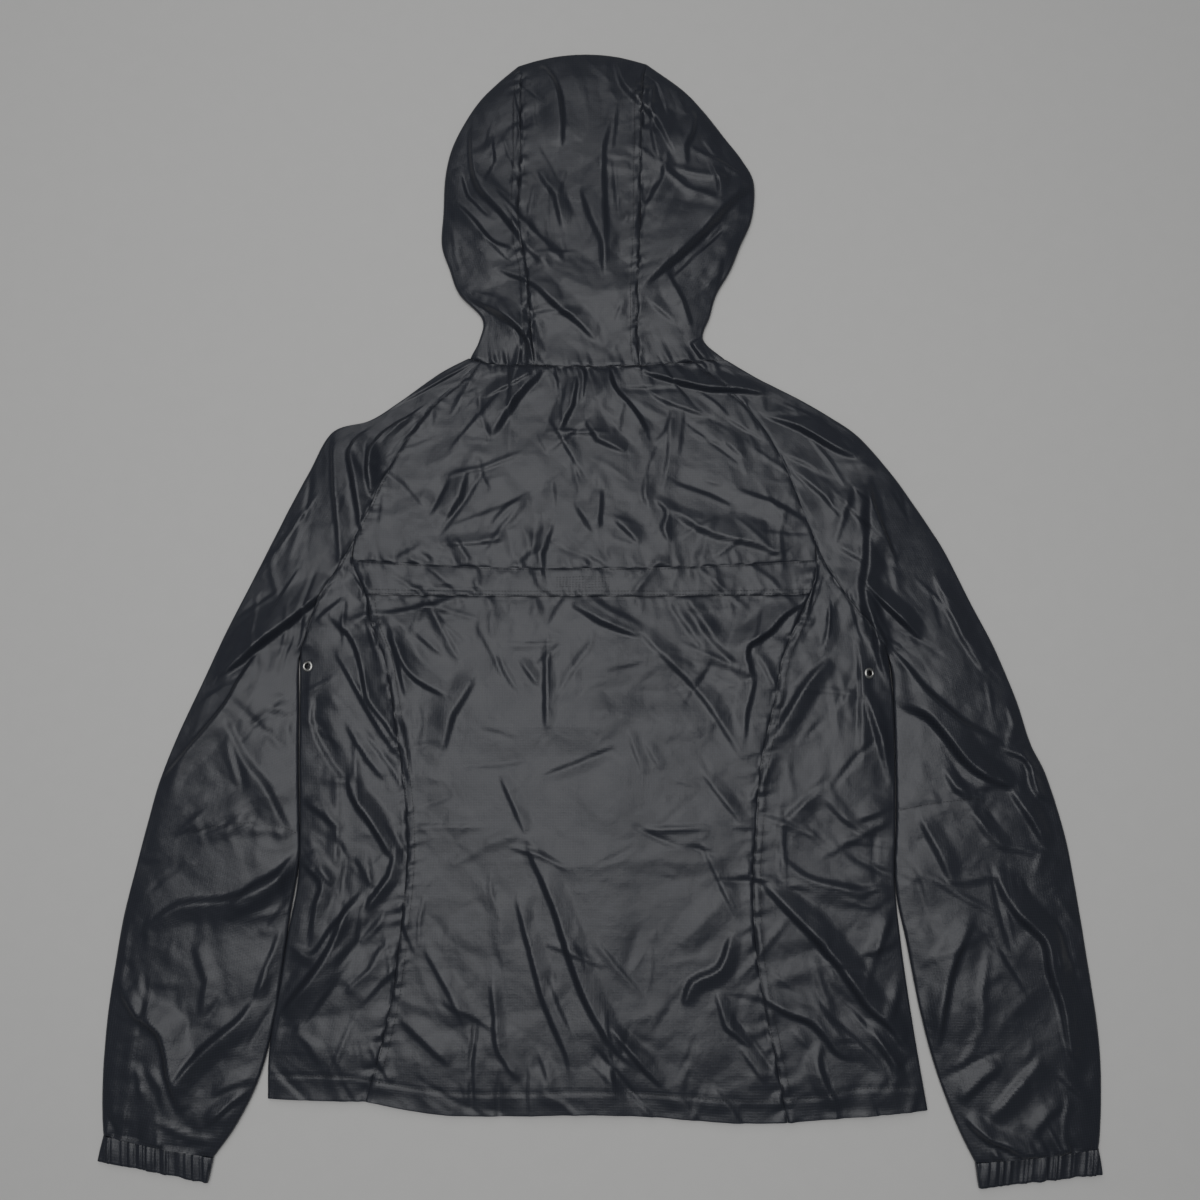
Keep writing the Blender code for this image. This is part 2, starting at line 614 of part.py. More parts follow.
def hood_centre():
    """Middle panel: between the two hood seams, over the brim and a little way under."""
    crown = HOOD[-1]
    columns = []
    for share in shares(7):
        path = []
        for row in HOOD:
            left, right = row.seam_l_x + SEAM, row.seam_r_x - SEAM
            x = left + (right - left) * share
            y = row.seam_l_y + (row.seam_r_y - row.seam_l_y) * share
            if row is HOOD[0]:
                y = neck_seam(x) + 2.0 * SEAM
            path.append((x, y))
        bow = CROWN_BULGE * (1.0 - (2.0 * share - 1.0) ** 2)
        left, right = crown.edge_l_x + SEAM, crown.edge_r_x - SEAM
        edge = (left + (right - left) * share,
                crown.edge_l_y + (crown.edge_r_y - crown.edge_l_y) * share + bow)
        outward = unit(path[-1], edge)
        bend = pulled_in(edge, outward, EDGE_LIFT)
        end = (edge[0] - outward[0] * crown.under, edge[1] - outward[1] * crown.under)
        run = [point for spot in path for point in top_run(spot, spot, (0.0,))]
        columns.append(run + turn(edge, outward, EDGE_LIFT, (90, 54, 18, -18, -54, -90))
                       + flat_run(bend, end, shares(2))[1:])
    wall("hood_centre", columns)


def hood_front(name, side):
    """Lower front of the hood, between the neckline and the edge round the face."""
    rows = [flat_run(NECK_CORNER[side > 0], (side * FACE_EDGE[0], NECK_POINT_Y - FACE_DROP), shares(3))]
    for degrees in neck_angles():
        outer = neckline(side, degrees, -0.0004)
        face = (side * FACE_EDGE[0] * math.cos(math.radians(degrees)),
                NECK_POINT_Y - FACE_DROP - FACE_EDGE[1] * math.sin(math.radians(degrees)))
        if abs(face[0]) < ZIP_GAP:
            face = (side * ZIP_GAP, face[1])
        rows.append(flat_run(outer, face, shares(3), lifted=True))
    wall(name, rows)


# ---- zip and eyelets ------------------------------------------------------------------------------------------
def block(bm, low, high):
    """Add a box between two corners."""
    made = bmesh.ops.create_cube(bm, size=1.0)
    centre = [(a + b) / 2.0 for a, b in zip(low, high)]
    size = [b - a for a, b in zip(low, high)]
    bmesh.ops.scale(bm, vec=size, verts=made["verts"])
    bmesh.ops.translate(bm, vec=centre, verts=made["verts"])


def zip_tape(name, side):
    """Woven tape along one front edge."""
    bm = bmesh.new()
    near, far, low, high = TAPE
    x = sorted((side * near, side * far))
    block(bm, (x[0], ZIP_LOW_Y, low), (x[1], ZIP_TOP_Y, high))
    add_object(name, bm, TAPE_FINISH)


def zip_chain():
    """Closed coil, a plain bar here."""
    bm = bmesh.new()
    half, low, high = CHAIN
    block(bm, (-half, ZIP_LOW_Y, low), (half, HINGE_Y - 0.0017, high))
    add_object("zip_chain", bm, COIL_FINISH)


def join_blocks(name, blocks, finish):
    """One solid from overlapping boxes, joined with Boolean unions."""
    bm = bmesh.new()
    block(bm, *blocks[0])
    made = add_object(name, bm, finish)
    for i, corners in enumerate(blocks[1:]):
        extra = bmesh.new()
        block(extra, *corners)
        cutter = add_object(f"{name}_part_{i}", extra, finish)
        cutter.hide_render = True
        cutter.display_type = "WIRE"
        joined = made.modifiers.new(f"join_{i}", "BOOLEAN")
        joined.operation = "UNION"
        joined.object = cutter
    return made


def zip_slider():
    """Slider: two plates held by a post, and the arch under it that the tab hangs on."""
    y = HINGE_Y
    join_blocks("zip_slider", (
        ((-0.0042, y - 0.0055, 0.0023), (0.0042, y + 0.0055, 0.0032)),
        ((-0.0015, y - 0.0010, 0.0030), (0.0015, y + 0.0035, 0.0056)),
        ((-0.0042, y - 0.0055, 0.0054), (0.0042, y + 0.0055, 0.0063)),
        ((-0.0009, y - 0.0027, 0.0003), (0.0009, y - 0.0019, 0.0025)),
        ((-0.0009, y + 0.0019, 0.0003), (0.0009, y + 0.0027, 0.0025)),
        ((-0.0009, y - 0.0023, 0.0003), (0.0009, y + 0.0023, 0.0010)),
    ), METAL_FINISH)


def zip_pull():
    """Tab on the slider's arch: a bar through the arch, two arms and a plain plate."""
    half, thick = TAB_HALF, TAB_THICK / 2.0
    outline = [(-half, 0.0004), (half, 0.0004), (half, -TAB_LENGTH + 0.0015),
               (half - 0.0010, -TAB_LENGTH), (-half + 0.0010, -TAB_LENGTH), (-half, -TAB_LENGTH + 0.0015)]
    window = [(-0.0014, -0.0004), (0.0014, -0.0004), (0.0014, -0.0042), (-0.0014, -0.0042)]
    bm = bmesh.new()
    edges = []
    for loop in (outline, window):
        ring = [bm.verts.new((x, y, -thick)) for x, y in loop]
        edges += [bm.edges.new((ring[i], ring[(i + 1) % len(ring)])) for i in range(len(ring))]
    bmesh.ops.triangle_fill(bm, edges=edges, use_beauty=True)
    made = bmesh.ops.extrude_face_region(bm, geom=bm.faces[:])
    lifted = [item for item in made["geom"] if isinstance(item, bmesh.types.BMVert)]
    bmesh.ops.translate(bm, vec=(0.0, 0.0, 2.0 * thick), verts=lifted)
    pull = add_object("zip_pull", bm, METAL_FINISH)
    pull.location = (0.0, HINGE_Y, HINGE_Z)


def eyelet(spot):
    """Pressed ring on a side panel, level with the cloth under it."""
    outer, hole, thick = EYELET_RING
    count = 28
    under = max(top_height(spot.x + outer * math.cos(a), spot.y + outer * math.sin(a))
                for a in (math.tau * i / 8 for i in range(8)))
    bm = bmesh.new()
    profile = ((outer, 0.0), (outer, 0.6 * thick), (outer - 0.0005, thick), (hole + 0.0005, thick),
               (hole, 0.6 * thick), (hole, 0.0))
    ring = [bm.verts.new((r, 0.0, z)) for r, z in profile]
    edges = [bm.edges.new((ring[i], ring[(i + 1) % len(ring)])) for i in range(len(ring))]
    bmesh.ops.spin(bm, geom=ring + edges, cent=(0.0, 0.0, 0.0), axis=(0.0, 0.0, 1.0),
                   angle=math.tau, steps=count, use_merge=True)
    bmesh.ops.remove_doubles(bm, verts=bm.verts, dist=0.00001)
    made = add_object(spot.name, bm, METAL_FINISH)
    made.location = (spot.x, spot.y, under + 0.0003)


def build():
    """Clear the scene and make every piece."""
    for old in list(bpy.data.objects):
        bpy.data.objects.remove(old)
    back_yoke()
    back_band()
    back_centre()
    for side, letter in ((-1, "L"), (1, "R")):
        back_side(f"back_side_{letter}", side)
        wall(f"sleeve_{letter}", sleeve_rows(side))
        cuff(f"cuff_{letter}", side)
        front(f"front_{letter}", side)
        hood_side(f"hood_side_{letter}", side)
        hood_front(f"hood_front_{letter}", side)
        zip_tape(f"zip_tape_{letter}", side)
    hood_centre()
    zip_chain()
    zip_slider()
    zip_pull()
    for spot in EYELETS:
        eyelet(spot)


build()
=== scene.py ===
"""Hooded windbreaker laid out flat, back side up: its looks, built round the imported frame.

Metres, +Z up, +Y towards the hood; _L is the wearer's left, at -X. Tables are in millimetres.
One height rule shapes the whole top layer, so neighbouring panels meet at their seams.
"""
import math

import bmesh
import bpy
import numpy as np
from bpy.props import FloatProperty, FloatVectorProperty, PointerProperty
from mathutils import Matrix, Vector


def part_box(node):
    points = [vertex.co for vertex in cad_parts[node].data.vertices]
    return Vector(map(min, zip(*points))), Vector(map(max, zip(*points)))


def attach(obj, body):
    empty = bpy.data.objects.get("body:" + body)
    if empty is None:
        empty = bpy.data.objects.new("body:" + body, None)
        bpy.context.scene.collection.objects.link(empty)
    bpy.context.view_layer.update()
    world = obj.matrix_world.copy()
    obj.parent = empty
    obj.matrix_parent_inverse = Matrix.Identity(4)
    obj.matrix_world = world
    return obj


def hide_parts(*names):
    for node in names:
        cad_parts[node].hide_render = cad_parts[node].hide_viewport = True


bl_info = {
    "name": "Laid-out windbreaker",
    "version": (1, 0, 0),
    "blender": (4, 5, 0),
    "location": "View3D > Sidebar > Windbreaker",
    "description": "Builds the cloth, stitching, zip and eyelets of a windbreaker on its frame",
    "category": "Object",
}

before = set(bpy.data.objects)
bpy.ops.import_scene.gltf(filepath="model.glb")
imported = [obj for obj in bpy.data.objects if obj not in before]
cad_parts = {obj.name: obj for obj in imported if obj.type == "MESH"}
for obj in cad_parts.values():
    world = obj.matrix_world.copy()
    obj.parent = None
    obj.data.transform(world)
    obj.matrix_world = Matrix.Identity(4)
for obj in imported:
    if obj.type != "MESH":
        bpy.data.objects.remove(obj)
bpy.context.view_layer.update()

MM = 0.001
SEAM = 0.00010           # half of the gap between two panels
SPLIT = 0.00015          # a sleeve and the body's side keep twice this apart
EDGE = 0.0050            # height of the top layer at the folds
JACKET = "jacket"

# ---- the cut, in millimetres -------------------------------------------------------------------
NECK = ((-115.5, 200.5), (-104, 197), (-58, 193.5), (-12, 192), (34, 193.5), (80, 197), (108, 199))
# y, left and right raglan seam from the neck to the underarm
RAGLAN = (
    (197, -104, 80), (180, -120, 100), (160, -143, 121), (143, -157, 135), (120, -172, 149),
    (93, -186, 161), (65, -198, 171), (44, -208, 179), (24, -218, 187), (-6, -236, 205),
    (-30, -245, 223), (-58, -253, 240),
)
# y, left and right side fold from the underarm to the hem
SIDES = (
    (-58, -253, 240), (-92, -252, 243), (-147, -250.8, 243), (-200, -248.8, 241.8), (-240, -249, 240),
    (-285, -256, 243), (-330, -262, 248), (-375, -268, 254), (-424, -268, 261),
)
# y, left and right seam between the centre back and the side panels
PRINCESS = (
    (44, -208.5, 179.5), (24, -210, 181), (-6, -198, 174), (-30, -193, 163), (-58, -182, 151),
    (-92, -175, 144), (-147, -166, 131), (-200, -160, 126), (-240, -160, 123), (-285, -164, 124),
    (-330, -169, 129), (-375, -178, 138), (-424, -189, 148),
)
HEM = ((-268, -412), (-205, -412), (-140, -423), (0, -424), (175, -427), (200, -422), (262, -421))
HEM_DEPTH = 17.5
BAND = (24, 16.5, -6, -7.5)      # top at the ends and the middle, bottom at the ends and the middle
# outer fold of each sleeve, a point for each row of RAGLAN, then with its inner edge
OUTER = {
    -1: ((-115.5, 200.5), (-140, 187), (-175, 161), (-200, 145), (-231, 135), (-250, 100),
         (-266, 68), (-280, 38), (-296, 4), (-315, -36), (-333, -78), (-353, -125)),
    1: ((108, 199), (134, 183), (170, 164), (195, 149), (220, 131), (247, 99),
        (266, 71), (280, 49), (292, 28), (311, -13), (328, -48), (345, -92)),
}
# outer x, y and inner x, y down the sleeve
SLEEVE = {
    -1: ((-366, -162, -252, -100), (-374, -195, -251, -145), (-382, -231, -249, -190),
         (-390, -270, -248, -226), (-395, -308, -254, -270), (-399, -345, -260, -320),
         (-400.5, -378, -266, -362), (-400.5, -405, -276, -400), (-399.5, -425, -292, -433),
         (-398, -440, -309, -457)),
    1: ((356, -130, 243, -105), (368, -157, 243, -150), (381, -205, 242, -195),
        (388, -252, 240, -245), (394, -302, 248, -293), (399, -347, 257, -345),
        (401, -380, 266, -383), (400, -413, 278, -419), (398, -435, 288, -443),
        (396, -450, 297, -461)),
}
FRONT_NECK = (113, 81)           # half width and drop of the front neckline
NECK_POINT = 199
FACE = (63.5, 33, 5)             # face opening: half width, depth, start below the neck points
NECK_CORNER = {-1: (-111.8, 199.5), 1: (104.2, 198.2)}
FRONT_RAGLAN = (98.5, 158, 10)   # start of the front raglan seam and its bow
CUFF_DEPTH = 19.5
ZIP_GAP = 8
ZIP_LIFT = 2.3
# hood: left seam x, y, left edge x, y, right seam x, y, right edge x, y, depth turned under
HOOD = (
    (-57, 194, -113.5, 201, 33, 194, 106.5, 199.5, 46),
    (-60, 218, -106, 217, 31, 218, 88, 217, 46),
    (-62, 239, -104, 236, 31, 239, 94, 238, 48),
    (-63, 260, -124, 258, 31, 260, 100, 258, 52),
    (-65, 281, -133, 281, 32, 281, 112, 279, 54),
    (-70, 302, -140, 303, 33, 302, 121, 301, 56),
    (-72, 325, -139, 332, 34, 325, 132, 328, 56),
    (-72, 349, -138, 364, 34, 349, 134, 360, 54),
    (-71, 373, -133, 390, 34, 373, 124, 381, 50),
    (-71, 397, -122, 415, 35, 397, 108, 403, 46),
    (-71, 420, -108, 437, 35, 420, 91, 426, 40),
    (-71, 440, -91, 455, 36, 440, 73, 446, 34),
    (-71, 456, -74.5, 469.5, 37, 457, 40, 471.5, 30),
)
CROWN_BULGE = 10.5
ELBOW = {
    -1: ((-249, -206), (-261, -200), (-284, -196), (-311, -198), (-339, -204)),
    1: ((245, -186), (268, -181), (292, -178), (309, -177), (318, -188)),
}
EYELETS = {-1: (-245.5, -66), 1: (222.5, -72)}

# ---- creases, in millimetres -------------------------------------------------------------------
# rise, reach of the gentle side, then the points of the crest; the steep side is on the right
# of its direction. A negative rise is a trough.
HOOD_CREASES = (
    (7, 18, (-36, 390), (-37, 422), (-42, 448), (-54, 467)),
    (6, 16, (13, 472), (20, 448), (36, 429), (49, 415), (59, 394), (64, 383)),
    (5, 12, (44, 406), (48, 385), (52, 372)),
    (4, 10, (57, 383), (54, 360), (42, 337)),
    (5, 14, (74, 374), (73, 390), (79, 404), (82, 424)),
    (5, 9, (94, 378), (103, 356), (103, 342)),
    (4, 8, (102, 340), (83, 351)),
    (10, 26, (36, 264), (59, 286), (85, 310), (106, 335), (130, 356)),
    (-5, 16, (60, 272), (84, 296), (108, 318)),
    (4, 9, (97, 257), (102, 272), (104, 288)),
    (5, 12, (77, 228), (69, 250), (56, 274)),
    (4, 9, (41, 250), (65, 230)),
    (7, 10, (99, 226), (79, 212), (88, 199)),
    (7, 16, (-115, 406), (-113, 376), (-107, 353), (-88, 331), (-72, 310), (-66, 299), (-51, 283)),
    (-5, 12, (-122, 366), (-116, 346), (-98, 326)),
    (6, 15, (-79, 295), (-96, 301), (-111, 319), (-127, 337)),
    (7, 14, (-88, 277), (-66, 268), (-55, 261), (-38, 245), (-21, 232), (-6, 217)),
    (8, 15, (-115, 254), (-95, 243), (-76, 230), (-63, 214), (-59, 199)),
    (4, 8, (-106, 212), (-99, 232)),
    (5, 14, (-17, 349), (-8, 322), (1, 301), (2, 272)),
    (5, 18, (3, 286), (1, 331), (0, 383), (7, 415)),
    (5, 11, (-56, 367), (-40, 344), (-34, 315)),
    (4, 22, (-62, 297), (-38, 272), (-16, 262), (3, 258), (24, 270)),
    (3, 8, (-73, 356), (-80, 367)),
    (3, 8, (-105, 356), (-95, 376), (-97, 401)),
    (3, 7, (-38, 344), (-32, 367)),
    (3, 7, (3, 381), (27, 378)),
)
YOKE_CREASES = (
    (9, 24, (-95, 132), (-74, 166), (-52, 189)),
    (4, 9, (-99, 166), (-56, 188)),
    (7, 13, (-37, 135), (-26, 158), (-22, 182)),
    (5, 9, (-17, 162), (-15, 190)),
    (4, 8, (14, 164), (6, 189)),
    (8, 16, (38, 134), (26, 153), (9, 172), (5, 190)),
    (6, 14, (-13, 144), (-3, 128), (20, 117)),
    (9, 14, (36, 188), (67, 179), (92, 173), (117, 172), (141, 169)),
    (3, 12, (38, 174), (51, 164), (73, 155), (92, 149)),
    (4, 9, (61, 153), (55, 134), (46, 124)),
    (4, 9, (104, 128), (120, 113)),
    (3, 12, (75, 134), (104, 124)),
    (3, 9, (85, 93), (103, 88)),
    (5, 22, (56, 68), (94, 47), (127, 39), (155, 27)),
    (-4, 16, (62, 92), (92, 82), (112, 72)),
    (4, 16, (174, 55), (144, 72), (117, 82)),
    (5, 10, (46, 76), (56, 64), (52, 51), (58, 39)),
    (5, 9, (38, 97), (36, 80), (40, 68)),
    (5, 11, (-22, 72), (-7, 48)),
    (5, 10, (-3, 51), (-1, 84)),
    (6, 12, (11, 59), (26, 45), (32, 37)),
    (4, 9, (-40, 69), (-42, 91)),
    (4, 12, (-61, 81), (-79, 69), (-93, 54)),
    (6, 14, (-132, 60), (-121, 79), (-115, 101)),
    (-5, 12, (-146, 63), (-131, 93)),
    (5, 9, (-114, 17), (-113, 25), (-124, 42)),
    (5, 10, (-155, 34), (-175, 24)),
    (3, 9, (-153, 32), (-133, 21)),
    (5, 9, (-50, 9), (-51, 28), (-42, 54)),
    (4, 8, (-61, 18), (-60, 48)),
    (3, 10, (-44, 118), (-15, 144)),
    (3, 9, (-54, 132), (-44, 113)),
    (3, 14, (-150, 104), (-120, 118), (-92, 112)),
)
BAND_CREASES = (
    (3, 6, (-205, 25), (-198, -6)),
    (2.5, 5, (-116, 19), (-112, 7)),
    (2.5, 5, (-105, 15), (-106, -2)),
    (3, 7, (-59, 17), (-49, -4)),
    (2.5, 6, (92, 18), (99, -3)),
    (2.5, 6, (124, 16), (137, -3)),
    (2, 5, (163, 18), (166, 8)),
    (2.5, 7, (64, 18), (58, -2)),
    (3, 6, (76, 22), (88, 29)),
    (4, 8, (94, 25), (118, 42)),
    (3, 7, (138, 28), (162, 35)),
)
BACK_CREASES = (
    (6, 14, (-24, -14), (0, -28), (32, -41)),
    (4, 12, (32, -37), (61, -66), (75, -80), (92, -102), (115, -140)),
    (3, 12, (73, -16), (93, -43), (116, -66)),
    (10, 16, (125, -75), (121, -62), (122, -48), (139, -37), (153, -22), (170, -12)),
    (5, 10, (118, -126), (119, -106), (127, -76)),
    (6, 13, (-177, -34), (-165, -63), (-153, -77), (-130, -90)),
    (4, 10, (-155, -38), (-134, -56)),
    (5, 18, (-132, -135), (-125, -106), (-107, -77)),
    (4, 9, (-46, -60), (-46, -118)),
    (4, 8, (-35, -48), (-55, -66)),
    (5, 8, (-68, -61), (-53, -82)),
    (3, 24, (-23, -72), (29, -57), (72, -54)),
    (-3, 22, (-17, -86), (50, -88), (118, -77)),
    (2, 18, (-9, -103), (46, -113), (103, -115)),
    (2.5, 26, (-120, -118), (-40, -115), (25, -120)),
    (-2, 26, (-114, -140), (-40, -142), (25, -140)),
    (2, 30, (-23, -171), (46, -192), (108, -194)),
    (2, 16, (-113, -208), (-88, -205), (-60, -208), (-45, -227), (-23, -230), (34, -222),
     (68, -227), (113, -219)),
    (3, 10, (-83, -157), (-71, -183), (-62, -204)),
    (7, 16, (-60, -215), (-39, -260), (-27, -296), (-11, -337), (11, -372), (24, -384)),
    (5, 12, (-69, -256), (-56, -302), (-45, -339), (-28, -377), (-26, -390)),
    (7, 12, (105, -285), (95, -310), (73, -321), (66, -339)),
    (4, 10, (92, -329), (100, -356), (120, -372)),
    (4, 9, (111, -372), (130, -398)),
    (2.5, 12, (-97, -247), (-84, -266), (-81, -288), (-76, -307)),
    (3.5, 9, (-89, -323), (-86, -348), (-83, -374), (-66, -398)),
    (4, 9, (-163, -271), (-151, -299)),
    (3, 11, (-143, -296), (-123, -329), (-109, -356)),
    (5, 10, (7, -356), (36, -390), (48, -402)),
    (4, 14, (-162, -350), (-122, -385)),
    (3, 9, (-103, -374), (-105, -400)),
    (2.5, 8, (22, -120), (34, -154)),
    (2.5, 8, (34, -126), (49, -152)),
    (3, 9, (83, -154), (114, -194)),
    (2.5, 10, (82, -211), (110, -271)),
    (3, 16, (62, -293), (90, -266), (104, -252)),
    (6, 11, (-121, -8), (-142, -15), (-171, -21), (-190, -23)),
    (3, 8, (-144, -18), (-136, -35)),
    (3, 8, (-93, -20), (-93, -42)),
    (3, 8, (-55, -10), (-59, -25)),
    (3, 8, (-181, -27), (-168, -44)),
    (3, 9, (70, -8), (86, -30), (95, -42)),
    (3, 9, (-52, -372), (-40, -402)),
    (2.5, 8, (-8, -384), (12, -402)),
    (3, 8, (64, -404), (70, -384)),
)
SIDE_CREASES = (
    (6, 10, (-186, -20), (-211, -28)),
    (6, 10, (-216, -10), (-238, -28)),
    (8, 14, (-226, -25), (-207, -44), (-197, -73), (-193, -92), (-178, -113), (-165, -134)),
    (5, 11, (-221, -55), (-206, -79), (-191, -106), (-168, -140)),
    (4, 10, (-211, -115), (-192, -144), (-179, -159)),
    (9, 13, (-208, -155), (-204, -173), (-187, -196), (-171, -223)),
    (5, 10, (-245, -176), (-229, -187), (-212, -201)),
    (-4, 13, (-237, -90), (-238, -115), (-223, -144), (-209, -160)),
    (5, 10, (-244, -215), (-220, -244)),
    (5, 9, (-202, -221), (-184, -247)),
    (6, 9, (-168, -215), (-173, -237), (-191, -260)),
    (4, 8, (-217, -228), (-216, -198)),
    (5, 8, (-177, -38), (-168, -68), (-163, -90)),
    (6, 10, (-247, -224), (-228, -242), (-232, -260), (-235, -286)),
    (6, 10, (-196, -251), (-208, -267), (-219, -280), (-234, -300), (-252, -292)),
    (11, 18, (-206, -262), (-218, -294), (-237, -322), (-258, -346)),
    (6, 9, (-173, -239), (-192, -265)),
    (4, 8, (-262, -368), (-258, -346)),
    (4, 10, (-176, -291), (-188, -312), (-207, -329)),
    (4, 8, (-188, -366), (-179, -383), (-168, -399)),
    (3, 10, (-247, -356), (-234, -370), (-225, -385)),
    (4, 9, (213, -44), (216, -78), (214, -144)),
    (7, 11, (219, -90), (230, -126), (239, -165)),
    (5, 9, (191, -17), (190, -35), (184, -53)),
    (7, 13, (190, -60), (172, -78), (158, -100), (140, -128)),
    (3, 8, (169, -73), (160, -89)),
    (4, 8, (129, -55), (136, -66), (146, -88)),
    (3, 8, (144, -137), (130, -163)),
    (-4, 30, (160, -200), (200, -215), (236, -205)),
    (5, 16, (235, -245), (213, -249), (179, -243), (162, -236), (147, -223)),
    (4, 9, (183, -174), (198, -191), (217, -204)),
    (4, 9, (211, -193), (239, -180)),
    (4, 12, (183, -165), (167, -178), (143, -200)),
    (11, 17, (129, -240), (157, -269), (174, -286), (190, -305), (205, -326), (215, -340),
     (232, -355), (243, -372)),
    (8, 16, (132, -334), (149, -344), (168, -351), (180, -363), (189, -375), (200, -380)),
    (4, 8, (153, -359), (167, -373)),
    (6, 11, (188, -420), (179, -402), (173, -384), (176, -369)),
    (6, 10, (213, -351), (225, -371), (233, -386), (233, -402)),
    (6, 11, (220, -303), (230, -280), (239, -258)),
    (5, 9, (231, -351), (237, -336), (242, -317)),
    (5, 9, (188, -42), (191, -12)),
    (4, 8, (172, -22), (176, -2), (183, 20)),
)
SLEEVE_L_CREASES = (
    (7, 13, (-162, 148), (-182, 136), (-195, 120), (-197, 103), (-194, 87)),
    (4, 9, (-142, 158), (-159, 134), (-170, 128)),
    (9, 14, (-203, 134), (-214, 118), (-210, 95), (-205, 67), (-203, 48)),
    (6, 11, (-230, 132), (-228, 103), (-224, 67), (-219, 22)),
    (7, 10, (-199, 126), (-198, 95), (-194, 77)),
    (5, 8, (-190, 152), (-150, 174), (-112, 196)),
    (12, 22, (-318, -74), (-298, -57), (-281, -42), (-261, -27), (-232, -2)),
    (8, 15, (-289, -59), (-298, -75), (-311, -99), (-336, -130), (-364, -161)),
    (6, 16, (-255, -205), (-267, -184), (-276, -166), (-293, -146), (-299, -137), (-311, -112)),
    (-4, 8, (-307, -126), (-299, -151), (-294, -167)),
    (4, 10, (-290, -185), (-308, -198), (-331, -208)),
    (4, 10, (-264, -201), (-290, -195), (-308, -198)),
    (8, 14, (-246, -216), (-263, -235), (-284, -247), (-300, -262)),
    (3, 14, (-247, -162), (-267, -169), (-287, -175), (-312, -187), (-347, -203)),
    (5, 8, (-279, -101), (-260, -104), (-250, -101)),
    (5, 8, (-254, -128), (-260, -119), (-258, -110)),
    (8, 16, (-244, -224), (-270, -244), (-302, -256), (-341, -260), (-367, -277)),
    (4, 20, (-259, -237), (-279, -254), (-315, -280)),
    (3, 8, (-366, -267), (-369, -279), (-368, -294)),
    (12, 20, (-386, -329), (-373, -346), (-356, -356), (-348, -373), (-344, -393), (-334, -421)),
    (8, 14, (-281, -337), (-291, -351), (-312, -368), (-327, -383), (-340, -400)),
    (4, 12, (-258, -275), (-268, -303), (-279, -334)),
    (4, 8, (-305, -366), (-297, -380)),
    (4, 7, (-372, -387), (-366, -412)),
    (4, 7, (-364, -387), (-352, -404), (-350, -417)),
    (6, 9, (-313, -430), (-296, -415), (-279, -405)),
    (4, 6, (-332, -422), (-337, -434)),
    (4, 6, (-325, -424), (-318, -436)),
    (5, 11, (-310, -407), (-293, -400), (-275, -397)),
    (4, 7, (-394, -418), (-384, -437)),
    (3, 12, (-330, -290), (-318, -320), (-322, -345)),
)
SLEEVE_R_CREASES = (
    (8, 15, (141, 149), (169, 139), (200, 120), (218, 113)),
    (5, 8, (139, 153), (139, 168)),
    (5, 12, (157, 115), (171, 109), (185, 101)),
    (4, 12, (164, 101), (188, 80), (202, 61)),
    (4, 12, (196, 35), (204, 61), (213, 88)),
    (5, 9, (213, 88), (228, 71)),
    (9, 12, (246, 24), (236, 47), (227, 72), (229, 88)),
    (11, 15, (225, 82), (223, 22), (219, -2), (224, -42)),
    (5, 9, (200, 35), (221, 22)),
    (8, 13, (221, 2), (237, -14), (266, -42)),
    (8, 12, (221, -11), (227, -35), (232, -60), (242, -84)),
    (7, 18, (329, -130), (303, -117), (286, -104), (267, -86), (254, -69), (232, -42)),
    (12, 18, (244, -96), (266, -104), (281, -119), (300, -144), (317, -157), (338, -164)),
    (6, 12, (331, -135), (351, -144), (358, -170), (375, -178)),
    (7, 13, (336, -168), (351, -191), (363, -213)),
    (4, 9, (337, -100), (341, -115), (333, -130)),
    (6, 9, (282, -152), (290, -167), (305, -176)),
    (6, 13, (261, -191), (275, -219), (285, -243)),
    (5, 12, (305, -187), (317, -206), (330, -215)),
    (4, 9, (360, -215), (351, -236)),
    (10, 17, (320, -236), (334, -263), (351, -280), (359, -290), (362, -313), (370, -338),
     (373, -363), (376, -380)),
    (8, 16, (268, -375), (276, -330), (285, -301), (299, -275)),
    (7, 13, (285, -414), (303, -396), (318, -386)),
    (5, 14, (351, -379), (328, -404), (308, -426)),
    (5, 9, (363, -392), (377, -404), (390, -414)),
    (4, 8, (370, -371), (379, -379)),
    (9, 12, (289, -426), (306, -441), (322, -447), (335, -454)),
    (5, 9, (342, -439), (353, -424), (368, -414)),
    (4, 7, (371, -410), (368, -424)),
    (4, 7, (365, -437), (371, -451)),
    (5, 8, (368, -294), (369, -309), (387, -307)),
    (3, 10, (253, -224), (261, -241), (267, -267)),
    (3, 10, (312, -334), (301, -351)),
    (4, 8, (244, 18), (247, -4)),
    (4, 14, (280, 10), (300, -40), (318, -70)),
)
CREASES = (HOOD_CREASES + YOKE_CREASES + BAND_CREASES + BACK_CREASES + SIDE_CREASES
           + SLEEVE_L_CREASES + SLEEVE_R_CREASES)
STEEP = 0.22             # reach of a crease's steep side, as a share of the gentle one
SOFT = 0.22              # creases with less rise for their reach than this are even on both sides
FOLD = 0.66              # share of each crease's rise that is built
SOFT_SIDE = 0.85         # the second side's reach on those even creases
CREST = 0.45             # rounding of a crest, and the least reach of a steep side, millimetres
LEAST_REACH = 1.9
LONG = 60                # creases shorter than this many millimetres rise less
# calm cloth: centre x, y, radii, and the share of crumpling that is taken away
CALM = (
    (-15, -165, 120, 85, 0.80), (10, -290, 100, 75, 0.75), (-330, -240, 60, 110, 0.45),
    (-290, 20, 60, 60, 0.40), (320, -260, 60, 90, 0.35), (90, 80, 60, 40, 0.30),
    (-15, 440, 45, 28, 0.60), (290, 40, 50, 70, 0.35), (190, -110, 40, 50, 0.25),
)
